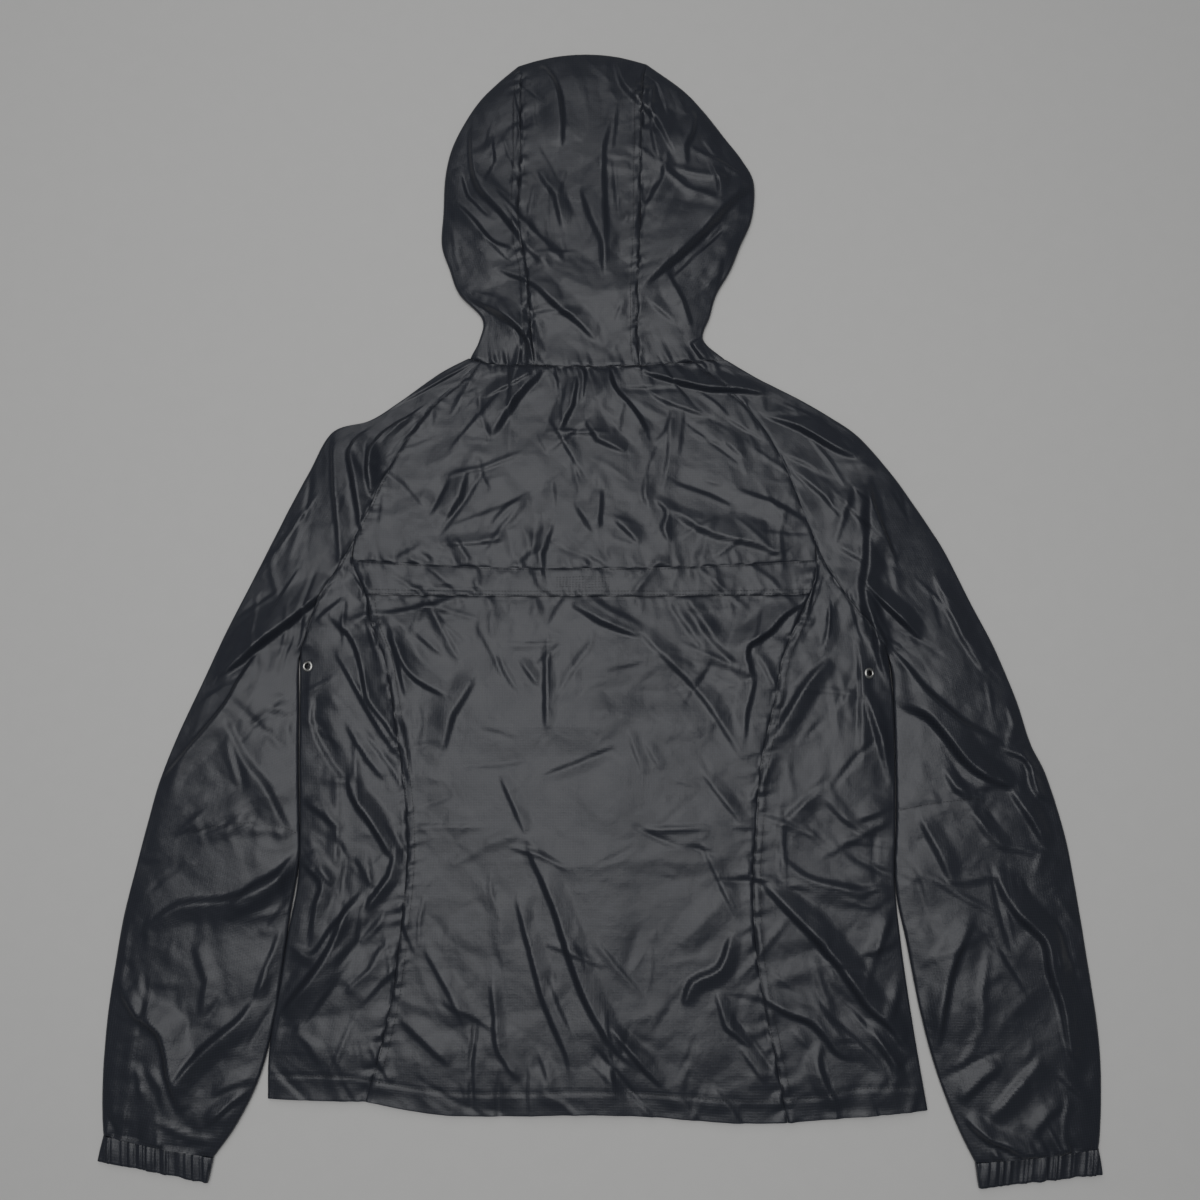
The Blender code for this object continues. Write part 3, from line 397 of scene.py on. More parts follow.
# crumpling: cell size and rise in millimetres, turn in degrees, stretch across, seed
CRUMPLES = ((58, 1.9, 24, 1.6, 11), (30, 0.9, -38, 1.5, 23))
# short creases between the placed ones: how many, then ranges of length, rise and reach, seed
SHORT = (2300, (11, 70), (0.50, 2.7), (2.4, 10), 5)


# ---- curves ------------------------------------------------------------------------------------
def smooth_curve(knots, values, at):
    """Cubic through values at increasing knots, read at `at`."""
    knots, values = np.asarray(knots, float), np.asarray(values, float)
    slopes = np.gradient(values, knots)
    at = np.clip(at, knots[0], knots[-1])
    i = np.clip(np.searchsorted(knots, at) - 1, 0, len(knots) - 2)
    step = knots[i + 1] - knots[i]
    t = (at - knots[i]) / step
    ease = t * t * (3.0 - 2.0 * t)
    return (values[i] * (1.0 - ease) + values[i + 1] * ease
            + step * t * (1.0 - t) * (slopes[i] * (1.0 - t) - slopes[i + 1] * t))


def smoothstep(low, high, value):
    """0 below low, 1 above high, and an even S between."""
    t = np.clip((value - low) / (high - low), 0.0, 1.0)
    return t * t * (3.0 - 2.0 * t)


def column_at(table, column, y):
    """A table's column at level y, in metres; the first column is the level, falling."""
    rows = np.array(table)[::-1] * MM
    return smooth_curve(rows[:, 0], rows[:, column], y)


def raglan_x(side, y):
    """Back raglan seam at level y."""
    return column_at(RAGLAN, 1 if side < 0 else 2, y)


def princess_x(side, y):
    """Seam beside the centre back at level y."""
    return column_at(PRINCESS, 1 if side < 0 else 2, y)


def side_x(side, y):
    """Side fold at level y."""
    return column_at(SIDES, 1 if side < 0 else 2, y)


def across_at(table, x):
    """Level of a seam that runs across, at x."""
    rows = np.array(table) * MM
    return smooth_curve(rows[:, 0], rows[:, 1], x)


def settled(x, y):
    """Level of a lower row at x: the last rows follow the hem."""
    start, low = PRINCESS[-2][0] * MM, PRINCESS[-1][0] * MM
    down = np.clip((start - y) / (start - low), 0.0, 1.0)
    return y + down * (across_at(HEM, x) - low)


def band_level(share, ends, middle):
    """Level across the band, bowed down in the middle."""
    return (ends - (ends - middle) * (1.0 - (2.0 * share - 1.0) ** 2)) * MM


def front_raglan(side, share):
    """Front raglan seam from the neckline (0) to the underarm (1)."""
    x0, y0, bow = (value * MM for value in FRONT_RAGLAN)
    x1 = SIDES[0][1 if side < 0 else 2] * MM
    swell = bow * np.sin(np.pi * share)
    x = side * x0 + (x1 - side * x0) * share - side * swell
    y = y0 + (SIDES[0][0] * MM - y0) * share - 0.6 * swell
    return np.stack([x, y], axis=-1)


def sleeve_lines(side, at):
    """Back seam or inner edge, outer fold and front seam of a sleeve at row positions `at`."""
    top, low = len(RAGLAN), len(SLEEVE[side])
    knots = np.arange(top + low)
    column = 1 if side < 0 else 2
    back = np.array([(row[column], row[0]) for row in RAGLAN]
                    + [(row[2], row[3]) for row in SLEEVE[side]], float) * MM
    back[:, 0] += side * np.where(knots < top, SEAM, SPLIT)
    outer = np.array(list(OUTER[side]) + [row[:2] for row in SLEEVE[side]], float) * MM
    front = back.copy()
    front[:top] = front_raglan(side, np.arange(top) / (top - 1.0))
    front[:top, 0] += side * SEAM
    lines = [np.stack([smooth_curve(knots, line[:, i], at) for i in (0, 1)], axis=-1)
             for line in (back, outer, front)]
    above = at <= top - 1
    lines[0][above, 0] = raglan_x(side, lines[0][above, 1]) + side * SEAM
    return lines


def hood_lines(side, at):
    """Hood seam, outer edge and turned depth at row positions `at`."""
    rows = np.array(HOOD, float) * MM
    first = 0 if side < 0 else 4
    knots = np.arange(len(rows))
    columns = (first, first + 1, first + 2, first + 3, 8)
    read = [smooth_curve(knots, rows[:, column], at) for column in columns]
    shift = side * SEAM
    return (np.stack([read[0] + shift, read[1]], axis=-1),
            np.stack([read[2] + shift, read[3]], axis=-1), read[4])


def crown_line(share):
    """Edge of the hood's brim between its two seams."""
    left, right = np.array(HOOD[-1][2:4]) * MM, np.array(HOOD[-1][6:8]) * MM
    line = left + (right - left) * share[:, None]
    line[:, 1] += CROWN_BULGE * MM * (1.0 - (2.0 * share - 1.0) ** 2)
    return line


# ---- height of the top layer -------------------------------------------------------------------
def outline_points():
    """Points along every fold that bounds the top layer."""
    points = []
    for side in (-1, 1):
        at = np.linspace(0.0, len(RAGLAN) + len(SLEEVE[side]) - 1.0, 200)
        back, outer, _ = sleeve_lines(side, at)
        points += [outer, back[at > len(RAGLAN) - 1]]
        y = np.linspace(SIDES[0][0], SIDES[-1][0], 110) * MM
        points.append(np.stack([side_x(side, y), y], axis=-1))
        points.append(hood_lines(side, np.linspace(0.0, len(HOOD) - 1.0, 90))[1])
    points.append(crown_line(np.linspace(0.0, 1.0, 40)))
    return np.concatenate(points)


OUTLINE = outline_points()


def outline_distance(x, y):
    """Distance of each point from the nearest fold."""
    flat = np.stack([x.ravel(), y.ravel()], axis=-1)
    far = np.empty(len(flat))
    block = 12000
    for start in range(0, len(flat), block):
        part = flat[start:start + block]
        square = ((part[:, None, 0] - OUTLINE[None, :, 0]) ** 2
                  + (part[:, None, 1] - OUTLINE[None, :, 1]) ** 2)
        far[start:start + block] = np.sqrt(square.min(axis=1))
    return far.reshape(x.shape)


def along_path(path, x, y, reach):
    """Points within reach of a path: their mask, signed distance (left positive) and arc length."""
    path = np.asarray(path, float)
    near = ((x > path[:, 0].min() - reach) & (x < path[:, 0].max() + reach)
            & (y > path[:, 1].min() - reach) & (y < path[:, 1].max() + reach))
    px, py = x[near], y[near]
    best = np.full(px.shape, 1.0)
    arc = np.zeros(px.shape)
    sign = np.ones(px.shape)
    run = 0.0
    for (x0, y0), (x1, y1) in zip(path[:-1], path[1:]):
        length = math.hypot(x1 - x0, y1 - y0)
        ux, uy = (x1 - x0) / length, (y1 - y0) / length
        ax, ay = px - x0, py - y0
        t = np.clip(ax * ux + ay * uy, 0.0, length)
        gap = np.hypot(ax - t * ux, ay - t * uy)
        closer = gap < best
        best = np.where(closer, gap, best)
        arc = np.where(closer, run + t, arc)
        sign = np.where(closer, np.where(ux * ay - uy * ax >= 0.0, 1.0, -1.0), sign)
        run += length
    return near, best * sign, arc, run


def short_creases():
    """Short straight creases spread over the cloth, mostly along the nearest placed crease."""
    count, lengths, rises, reaches, seed = SHORT
    dice = np.random.default_rng(seed)
    marks, turns = [], []
    for _, _, *points in CREASES:
        for (x0, y0), (x1, y1) in zip(points, points[1:]):
            marks.append(((x0 + x1) / 2.0, (y0 + y1) / 2.0))
            turns.append(math.atan2(y1 - y0, x1 - x0))
    marks = np.array(marks)
    made = []
    for _ in range(count):
        x, y = dice.uniform(-402.0, 402.0), dice.uniform(-462.0, 482.0)
        keep = dice.uniform()
        calm = sum(taken * math.exp(-((x - cx) / rx) ** 2 - ((y - cy) / ry) ** 2)
                   for cx, cy, rx, ry, taken in CALM)
        turn = turns[int(np.argmin(np.hypot(*(marks - (x, y)).T)))] + dice.normal(0.0, 0.5)
        long = dice.uniform() ** 1.5 * (lengths[1] - lengths[0]) + lengths[0]
        rise = dice.uniform() ** 1.6 * (rises[1] - rises[0]) + rises[0]
        wide = dice.uniform(*reaches)
        flip = dice.uniform() < 0.5
        bend = dice.normal(0.0, 0.06) * long
        sink = dice.uniform() < 0.3
        if keep < calm:
            continue
        dx, dy = math.cos(turn) * long / 2.0, math.sin(turn) * long / 2.0
        points = [(x - dx, y - dy), (x - dy * bend / long, y + dx * bend / long), (x + dx, y + dy)]
        made.append((-rise if sink else rise, wide, *(points[::-1] if flip else points)))
    return made


def rounded(points):
    """Path with its corners eased."""
    points = np.array(points, float)
    knots = np.arange(len(points))
    at = np.linspace(0.0, knots[-1], 3 * (len(points) - 1) + 1)
    return np.stack([smooth_curve(knots, points[:, i], at) for i in (0, 1)], axis=-1)


def crease_height(x, y):
    """Sum of the placed creases and the short ones: flat slopes either side of a crest."""
    z = np.zeros(x.shape)
    crest = CREST * MM
    for rise, gentle, *points in SHARP:
        wide = gentle * MM
        path = rounded(points) if len(points) > 3 else np.array(points)
        near, gap, arc, length = along_path(path * MM, x, y, 1.6 * wide)
        if not near.any():
            continue
        share = arc / length
        taper = np.clip(4.0 * (share + 0.01) * (1.01 - share), 0.0, 1.0) ** 0.6
        steep = STEEP if abs(rise) > SOFT * gentle else SOFT_SIDE
        reach = np.where(gap > 0.0, wide, max(steep * wide, LEAST_REACH * MM)) * (0.6 + 0.4 * taper)
        away = 1.0 - (np.sqrt(gap * gap + crest * crest) - crest) / reach
        scale = FOLD * min(1.0, (length / (LONG * MM)) ** 0.8)
        z[near] += scale * rise * MM * taper * 0.5 * (away + np.sqrt(away * away + 0.006))
    return z


SHARP = CREASES + tuple(short_creases())


def uneven(s, step, seed):
    """Smooth random waves along s, from -1 to 1."""
    table = np.random.default_rng(seed).uniform(-1.0, 1.0, 4096)
    cell = np.floor(s / step)
    t = s / step - cell
    i = cell.astype(int) % 4096
    ease = t * t * (3.0 - 2.0 * t)
    return table[i] * (1.0 - ease) + table[(i + 1) % 4096] * ease


def facets(x, y, cell, turn, stretch, seed):
    """Flat facets that meet in sharp folds, 0 to about 1: difference of two nearest-point squares."""
    angle = math.radians(turn)
    slow, quick = 0.22 * cell, 0.12 * cell
    bent_x = x + slow * np.sin(y / (1.9 * cell) + seed) + quick * np.sin(x / (0.8 * cell))
    bent_y = y + slow * np.sin(x / (1.7 * cell) + 2.0 * seed) + quick * np.sin(y / (0.9 * cell))
    u = (math.cos(angle) * bent_x + math.sin(angle) * bent_y) / (cell * stretch) + 40.0
    v = (-math.sin(angle) * bent_x + math.cos(angle) * bent_y) / cell + 40.0
    spots = np.random.default_rng(seed).uniform(0.05, 0.95, (96, 96, 2))
    column, row = np.floor(u).astype(int), np.floor(v).astype(int)
    first = np.full(x.shape, 9.0)
    second = np.full(x.shape, 9.0)
    for i in (-2, -1, 0, 1, 2):
        for j in (-2, -1, 0, 1, 2):
            spot = spots[(column + i) % 96, (row + j) % 96]
            square = (column + i + spot[..., 0] - u) ** 2 + (row + j + spot[..., 1] - v) ** 2
            closer = square < first
            second = np.where(closer, first, np.minimum(second, square))
            first = np.where(closer, square, first)
    return np.minimum(second - first, 1.4)


def crumple_height(x, y):
    """Crumpled cloth over the whole top layer, calmer in some places."""
    strength = np.ones(x.shape)
    for cx, cy, rx, ry, taken in CALM:
        strength -= taken * np.exp(-((x / MM - cx) / rx) ** 2 - ((y / MM - cy) / ry) ** 2)
    strength = np.clip(strength, 0.14, 1.0) * bpy.context.scene.windbreaker_cloth.crumple
    z = np.zeros(x.shape)
    for cell, rise, turn, stretch, seed in CRUMPLES:
        z += rise * MM * (facets(x, y, cell * MM, turn, stretch, seed) - 0.45)
    return z * strength


def seam_paths():
    """Seams that pull the cloth in: path, groove depth, welt width, pucker rise and reach, in mm."""
    y = np.linspace(RAGLAN[0][0] - 3, RAGLAN[-1][0] + 4, 60) * MM
    low = np.linspace(PRINCESS[1][0], PRINCESS[-1][0], 80) * MM
    share = np.linspace(0.0, 1.0, 50)
    paths = []
    for side in (-1, 1):
        paths.append((np.stack([raglan_x(side, y), y], axis=-1), 0.5, 0.0, 1.0, 8.0))
        x = princess_x(side, low)
        paths.append((np.stack([x, settled(x, low)], axis=-1), 0.4, 7.0, 1.7, 8.0))
        seam = hood_lines(side, np.linspace(0.0, len(HOOD) - 1.0, 60))[0]
        paths.append((seam, 0.4, 7.0, 1.8, 8.0))
        paths.append((np.array(ELBOW[side], float) * MM, 0.6, 0.0, 0.9, 9.0))
        last = SLEEVE[side][-1]
        cuff = np.array([last[2:], last[:2]], float) * MM
        paths.append((cuff, 0.6, 0.0, 2.4, 15.0))
    x = np.linspace(NECK[0][0], NECK[-1][0], 50) * MM
    paths.append((np.stack([x, across_at(NECK, x)], axis=-1), 0.8, 0.0, 1.7, 12.0))
    for ends, middle, row in ((BAND[0], BAND[1], 1), (BAND[2], BAND[3], 2)):
        left, right = PRINCESS[row][1] * MM, PRINCESS[row][2] * MM
        line = np.stack([left + (right - left) * share, band_level(share, ends, middle)], axis=-1)
        paths.append((line, 0.4, 0.0, 1.1, 9.0))
    return paths


def seam_height(x, y):
    """Grooves, felled welts and puckers along the seams."""
    z = np.zeros(x.shape)
    for number, (path, groove, welt, pucker, reach) in enumerate(seam_paths()):
        near, gap, arc, _ = along_path(path, x, y, 4.0 * reach * MM)
        if not near.any():
            continue
        away = np.abs(gap)
        dip = -groove * MM * np.exp(-(away / (2.0 * MM)) ** 2)
        if welt:
            ends = smoothstep((welt - 1.2) * MM, (welt + 0.8) * MM, gap)
            dip += 0.45 * MM * smoothstep(0.0, 1.5 * MM, gap) * (1.0 - ends)
        slant = arc + 0.35 * gap
        waves = np.where(gap > 0.0, uneven(slant, 4.6 * MM, 100 + number),
                         uneven(slant, 5.4 * MM, 200 + number))
        waves += 0.6 * np.where(gap > 0.0, uneven(slant, 9.0 * MM, 300 + number),
                                uneven(arc, 8.0 * MM, 400 + number))
        fade = np.exp(-away / (reach * MM * (0.75 + 0.25 * uneven(arc, 14.0 * MM, 500 + number))))
        fade *= smoothstep(0.0, 2.2 * MM, away)
        z[near] += dip + pucker * MM * waves * fade
    return z


def hem_height(x, y):
    """The turned hem: a step at its stitching and small waves below it."""
    above = y - across_at(HEM, x)
    body = (np.abs(x) < 0.272) & (above < 0.035) & (y < -0.36)
    step = 0.5 * MM * (1.0 - smoothstep((HEM_DEPTH - 1.0) * MM, (HEM_DEPTH + 1.2) * MM, above))
    line = -0.6 * MM * np.exp(-((above - HEM_DEPTH * MM) / (1.6 * MM)) ** 2)
    waves = 1.1 * MM * uneven(x + 0.3 * above, 13.0 * MM, 610)
    waves = waves * np.exp(-np.abs(above - 0.012) / 0.016)
    drop = -1.6 * MM * (1.0 - smoothstep(0.0, 0.022, above))
    return np.where(body, step + line + waves + drop, 0.0)


def level_height(x, _y):
    """Height of the layer before any fold."""
    return np.full(np.shape(x), EDGE)


def top_height(x, y):
    """Outer face of the top layer over the surface."""
    away = outline_distance(x, y)
    hood = smoothstep(0.205, 0.26, y)
    arm = smoothstep(0.16, 0.25, np.abs(x)) * (1.0 - hood)
    crown = 0.0022 + 0.0062 * hood + 0.0036 * arm
    over_zip = 0.0020 * np.exp(-(x / 0.026) ** 2) * (1.0 - smoothstep(0.17, 0.21, y))
    folds = crease_height(x, y) + crumple_height(x, y) + 0.35 * MM
    ease = 0.25 + 0.75 * smoothstep(0.0, 0.013, away)
    z = EDGE + crown * (1.0 - np.exp(-away / 0.024)) + over_zip + folds * ease
    z += (seam_height(x, y) + hem_height(x, y)) * (0.4 + 0.6 * smoothstep(0.0, 0.006, away))
    beside_zip = 1.0 - smoothstep(0.010, 0.022, np.abs(x))
    low = 0.0022 + 0.0036 * beside_zip * (1.0 - smoothstep(0.155, 0.175, y))
    soft = 0.0016
    z = np.where(z < low + soft, low + soft * np.exp((z - low - soft) / soft), z)
    high, span = 0.0130, 0.0080
    return np.where(z > high, high + span * np.tanh((z - high) / span), z)


# ---- sheets ------------------------------------------------------------------------------------
def spread(start, end, shares):
    """Plan points between two lines of points, a column for each share."""
    return start[:, None, :] + (end - start)[:, None, :] * np.asarray(shares)[None, :, None]


def raised(plan, height):
    """Plan points lifted to a height rule."""
    return np.concatenate([plan, height(plan[..., 0], plan[..., 1])[..., None]], axis=-1)


def lying(plan, lift=None):
    """Plan points on the surface, or at a lift."""
    z = np.zeros(plan.shape[:-1]) if lift is None else lift
    return np.concatenate([plan, z[..., None]], axis=-1)


def toward(start, end, spare):
    """Unit directions from start to end; `spare` where the two meet."""
    run = end - start
    length = np.linalg.norm(run, axis=-1, keepdims=True)
    return np.where(length > 1e-5, run / np.maximum(length, 1e-9), np.array(spare, float))


def turned(edge, outward, tall, degrees):
    """Columns where the sheet turns round a fold, angles from the horizontal."""
    radius = (tall / 2.0)[:, None]
    angles = np.radians(np.asarray(degrees, float))[None, :]
    out = radius * (np.cos(angles) - 1.0)
    plan = edge[:, None, :] + outward[:, None, :] * out[..., None]
    return np.concatenate([plan, (radius + radius * np.sin(angles))[..., None]], axis=-1)


def mixed(flat, curled, share):
    """Columns between a flat run and a curled one, a share for each row."""
    return flat + (curled - flat) * share[:, None, None]


def even(count, ends=(True, True)):
    """Even shares from 0 to 1, with or without its ends."""
    marks = np.linspace(0.0, 1.0, count + 1)
    return marks[0 if ends[0] else 1:len(marks) if ends[1] else -1]


def flat_area(points):
    """Area of a sheet of points."""
    a, b = points[1:, :-1] - points[:-1, :-1], points[:-1, 1:] - points[:-1, :-1]
    c, d = points[:-1, 1:] - points[1:, 1:], points[1:, :-1] - points[1:, 1:]
    return 0.5 * float(np.linalg.norm(np.cross(a, b), axis=-1).sum()
                       + np.linalg.norm(np.cross(c, d), axis=-1).sum())


def grain(points):
    """Lengths over the sheet from its corner: across each row, and down the middle column."""
    steps = np.linalg.norm(np.diff(points, axis=1), axis=-1)
    over = np.concatenate([np.zeros((len(points), 1)), np.cumsum(steps, axis=1)], axis=1)
    middle = points.shape[1] // 2
    over = over - over[:, middle:middle + 1]
    fall = np.linalg.norm(np.diff(points[:, middle], axis=0), axis=-1)
    down = np.concatenate([[0.0], np.cumsum(fall)])
    return over, np.repeat(down[:, None], points.shape[1], axis=1)


def cloth_object(name, points, grain_points, upward=True):
    """Thin shell through a grid of points, with its grain as a UV map in metres."""
    rows, columns = points.shape[:2]
    bm = bmesh.new()
    bmesh.ops.create_grid(bm, x_segments=columns - 1, y_segments=rows - 1, size=1.0)
    mesh = bpy.data.meshes.new(name)
    bm.to_mesh(mesh)
    bm.free()
    if len(mesh.vertices) != rows * columns:
        raise RuntimeError(f"{name}: the grid has {len(mesh.vertices)} points, not {rows * columns}")
    place = np.empty(len(mesh.vertices) * 3, np.float32)
    mesh.vertices.foreach_get("co", place)
    place = place.reshape(-1, 3)
    column = np.rint((place[:, 0] + 1.0) / 2.0 * (columns - 1)).astype(int)
    row = np.rint((place[:, 1] + 1.0) / 2.0 * (rows - 1)).astype(int)
    mesh.vertices.foreach_set("co", points[row, column].astype(np.float32).ravel())
    over, down = grain(grain_points)
    corner = np.empty(len(mesh.loops), np.int32)
    mesh.loops.foreach_get("vertex_index", corner)
    weave = np.stack([over[row, column], down[row, column]], axis=-1)[corner]
    mesh.uv_layers.new(name="grain").data.foreach_set("uv", weave.astype(np.float32).ravel())
    mesh.update()
    probe = mesh.polygons[len(mesh.polygons) // 2].normal.z
    if (probe > 0.0) != upward:
        mesh.flip_normals()
    mesh.shade_smooth()
    piece = bpy.data.objects.new(name, mesh)
    bpy.context.scene.collection.objects.link(piece)
    wall = piece.modifiers.new("thickness", "SOLIDIFY")
    wall.thickness = bpy.context.scene.windbreaker_cloth.thickness
    wall.offset = -1.0
    wall.use_even_offset = False
    shade = piece.modifiers.new("even shading", "WEIGHTED_NORMAL")
    shade.mode = "FACE_AREA"
    shade.weight = 100
    return piece


def finish_cloth(piece, nodes, points):
    """Material and frame calls of one cloth piece; its cut's width and length are worked out but not
    kept.
    """
    piece.data.materials.append(nylon())
    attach(piece, JACKET)
    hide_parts(*nodes)
    over, down = grain(points)
    width = float((over.max(axis=1) - over.min(axis=1)).max())
    length = float(down.max())
    area = flat_area(points)
    length = max(length, area / width)
    width, length = math.ceil(width * 1e4) / 1e4, math.ceil(length * 1e4) / 1e4


def yoke_points(height):
    """Yoke from the neck seam to the band, between the raglan seams."""
    rows, columns = 116, 206
    down = np.linspace(0.0, 1.0, rows)
    level = (RAGLAN[0][0] + (BAND[0] - RAGLAN[0][0]) * down) * MM
    share = np.linspace(0.0, 1.0, columns)
    ends = []
    for side, column in ((-1, 1), (1, 2)):
        table = RAGLAN[:8] + (PRINCESS[1],)
        ends.append(column_at(table, column, level) - side * SEAM)
    x = ends[0][:, None] + (ends[1] - ends[0])[:, None] * share[None, :]
    bow = 1.0 - (2.0 * share - 1.0) ** 2
    high = ((1.0 - down) ** 3)[:, None]
    y = level[:, None] + high * (across_at(NECK, x) - SEAM - RAGLAN[0][0] * MM)
    y -= (BAND[0] - BAND[1]) * MM * bow[None, :] * (down ** 6)[:, None]
    y += SEAM * (down ** 6)[:, None]
    return raised(np.stack([x, y], axis=-1), height)


def band_points(height):
    """Casing strip across the back, standing a little proud between its stitched edges."""
    rows, columns = 15, 200
    down = np.linspace(0.0, 1.0, rows)
    share = np.linspace(0.0, 1.0, columns)
    top, low = band_level(share, BAND[0], BAND[1]) - SEAM, band_level(share, BAND[2], BAND[3]) + SEAM
    y = top[None, :] + (low - top)[None, :] * down[:, None]
    level = (BAND[0] + (BAND[2] - BAND[0]) * down) * MM
    left, right = princess_x(-1, level) + SEAM, princess_x(1, level) - SEAM
    x = left[:, None] + (right - left)[:, None] * share[None, :]
    points = raised(np.stack([x, y], axis=-1), height)
    points[..., 2] += 0.0005 + 0.0004 * np.sin(np.pi * down)[:, None]
    return points


def centre_points(height):
    """Centre back from the band to the hem, between the princess seams."""
    rows, columns = 222, 178
    level = np.linspace(PRINCESS[2][0], PRINCESS[-1][0], rows) * MM
    share = np.linspace(0.0, 1.0, columns)
    left, right = princess_x(-1, level) + SEAM, princess_x(1, level) - SEAM
    x = left[:, None] + (right - left)[:, None] * share[None, :]
    near = np.clip(1.0 - (PRINCESS[2][0] * MM - level) / 0.052, 0.0, 1.0)[:, None]
    bow = (1.0 - (2.0 * share - 1.0) ** 2)[None, :]
    y = settled(x, np.repeat(level[:, None], columns, axis=1))
    y += near * (bow * (BAND[3] - BAND[2]) * MM - SEAM)
    return raised(np.stack([x, y], axis=-1), height)


def side_points(side, height):
    """Side panel: a wedge up to the band's end, and a quarter turn along the side fold."""
    rows, columns, curl = 224, 46, 6
    level = np.linspace(PRINCESS[0][0], PRINCESS[-1][0], rows) * MM
    start_x = princess_x(side, level) + side * SEAM
    start = np.stack([start_x, settled(start_x, level)], axis=-1)
    below = smoothstep(0.052, 0.062, -level)
    seam_x = raglan_x(side, np.maximum(level, SIDES[0][0] * MM)) - side * SEAM
    fold_x = side_x(side, np.minimum(level, SIDES[0][0] * MM)) - side * SPLIT
    edge_x = np.where(level > SIDES[0][0] * MM, seam_x, fold_x)
    edge = np.stack([edge_x, settled(edge_x, level)], axis=-1)
    outward = toward(start, edge, (side, 0.0))
    width = np.linalg.norm(edge - start, axis=-1)
    tuck = np.minimum(EDGE / 2.0, 0.4 * width)[:, None]
    bend = edge - outward * tuck
    top = raised(spread(start, bend, even(columns)), height)
    flat = raised(spread(bend, edge, even(curl, (False, True))), height)
    curled = turned(edge, outward, top[:, -1, 2], np.linspace(76.0, 4.0, curl))
    return np.concatenate([top, mixed(flat, curled, below)], axis=1)


def ring(back, edge, front, curl, counts, height):
    """One sleeve-like sheet: seam, top, outer fold, under layer, and back to the front seam."""
    head, top, fold, under = counts
    outward = toward(back, edge, (1.0, 0.0))
    width = np.linalg.norm(edge - back, axis=-1)
    radius = EDGE / 2.0
    tuck = (np.minimum(0.003, 0.2 * width) * (1.0 - curl) + radius * curl)[:, None]
    bent = back + outward * tuck
    bend = edge - outward * radius
    middle = raised(spread(bent, bend, even(top)), height)
    flat_head = raised(spread(back, bent, even(head, (True, False))), height)
    curl_head = turned(back, -outward, middle[:, 0, 2], np.linspace(4.0, 76.0, head))
    outer = turned(edge, outward, middle[:, -1, 2], np.linspace(90.0, -90.0, fold + 2)[1:-1])
    flat_end = front + toward(front, bend, (1.0, 0.0)) * np.minimum(0.003, 0.2 * width)[:, None]
    under_end = flat_end * (1.0 - curl[:, None]) + bent * curl[:, None]
    lower = lying(spread(bend, under_end, even(under)))
    flat_tail = lying(spread(under_end, front, even(head, (False, True))))
    curl_tail = turned(back, -outward, middle[:, 0, 2], np.linspace(-76.0, -4.0, head))
    return np.concatenate([mixed(flat_head, curl_head, curl), middle, outer, lower,
                           mixed(flat_tail, curl_tail, curl)], axis=1)


def sleeve_points(side, height):
    """Sleeve from the neck to the cuff seam: joined to the raglan seams, then a tube."""
    last = len(RAGLAN) + len(SLEEVE[side]) - 1.0
    fine = np.linspace(0.0, last, 900)
    back, outer, front = sleeve_lines(side, fine)
    walk = np.linalg.norm(np.diff((back + outer) / 2.0, axis=0), axis=-1)
    walk = np.concatenate([[0.0], np.cumsum(walk)])
    at = np.interp(np.linspace(0.0, walk[-1], 270), walk, fine)
    back, outer, front = sleeve_lines(side, at)
    curl = smoothstep(10.9, 11.8, at)
    return ring(back, outer, front, curl, (6, 68, 7, 14), height)


def cuff_points(side, height):
    """Elastic casing: a short flat tube in fine gathers."""
    last = SLEEVE[side][-1]
    inner = np.array(last[2:], float) * MM + np.array([side * SPLIT, 0.0])
    outer = np.array(last[:2], float) * MM
    over = toward(inner[None], outer[None], (1.0, 0.0))[0]
    down = np.array([over[1], -over[0]]) * side
    depth = np.linspace(0.0004, CUFF_DEPTH * MM, 13)[:, None]
    back, edge = inner + down * depth, outer + down * depth
    curl = np.ones(len(depth))
    points = ring(back, edge, back, curl, (6, 112, 9, 60), level_height)
    if height is level_height:
        return points
    run = np.cumsum(np.linalg.norm(np.diff(points[6], axis=0), axis=-1))
    run = np.concatenate([[0.0], run])[None, :] + 0.25 * depth
    fine, broad = uneven(run, 2.9 * MM, 700 + side), uneven(run, 7.0 * MM, 720 + side)
    pleat = np.abs(fine) * 1.5 - 0.35 + 0.5 * broad
    swell = 0.55 + 0.45 * np.sin(np.pi * np.linspace(0.0, 1.0, len(depth)))[:, None]
    lift = 1.5 * MM * pleat * swell
    upper = points[..., 2] > 0.0005
    raised_lift = lift * np.minimum(points[..., 2] / EDGE, 1.0) + 0.4 * MM * swell
    points[..., 2] += np.where(upper, raised_lift, 0.3 * np.abs(lift))
    sway = 0.5 * MM * uneven(run, 6.0 * MM, 740 + side) * (depth / depth[-1])
    points[..., :2] += down * sway[..., None]
    return points


def neck_line(side, degrees, apart):
    """Front neckline, turned from the side (0) to the centre (90), in metres."""
    a, b = FRONT_NECK
    angle = np.radians(degrees)
    x = side * (a + apart) * np.cos(angle)
    return np.stack([x, NECK_POINT - (b + apart) * np.sin(angle)], axis=-1) * MM


def neck_angles(count):
    """Angles that the fronts and the hood's lower fronts share, from the raglan to the zip."""
    first = math.degrees(math.acos(FRONT_RAGLAN[0] / FRONT_NECK[0])) + 1.0
    last = math.degrees(math.acos(ZIP_GAP / FRONT_NECK[0]))
    return np.linspace(first, last, count)


def front_lift(plan):
    """Height of a front over the surface: flat, rising towards the zip."""
    return ZIP_LIFT * MM * (1.0 - smoothstep(0.014, 0.030, np.abs(plan[..., 0])))


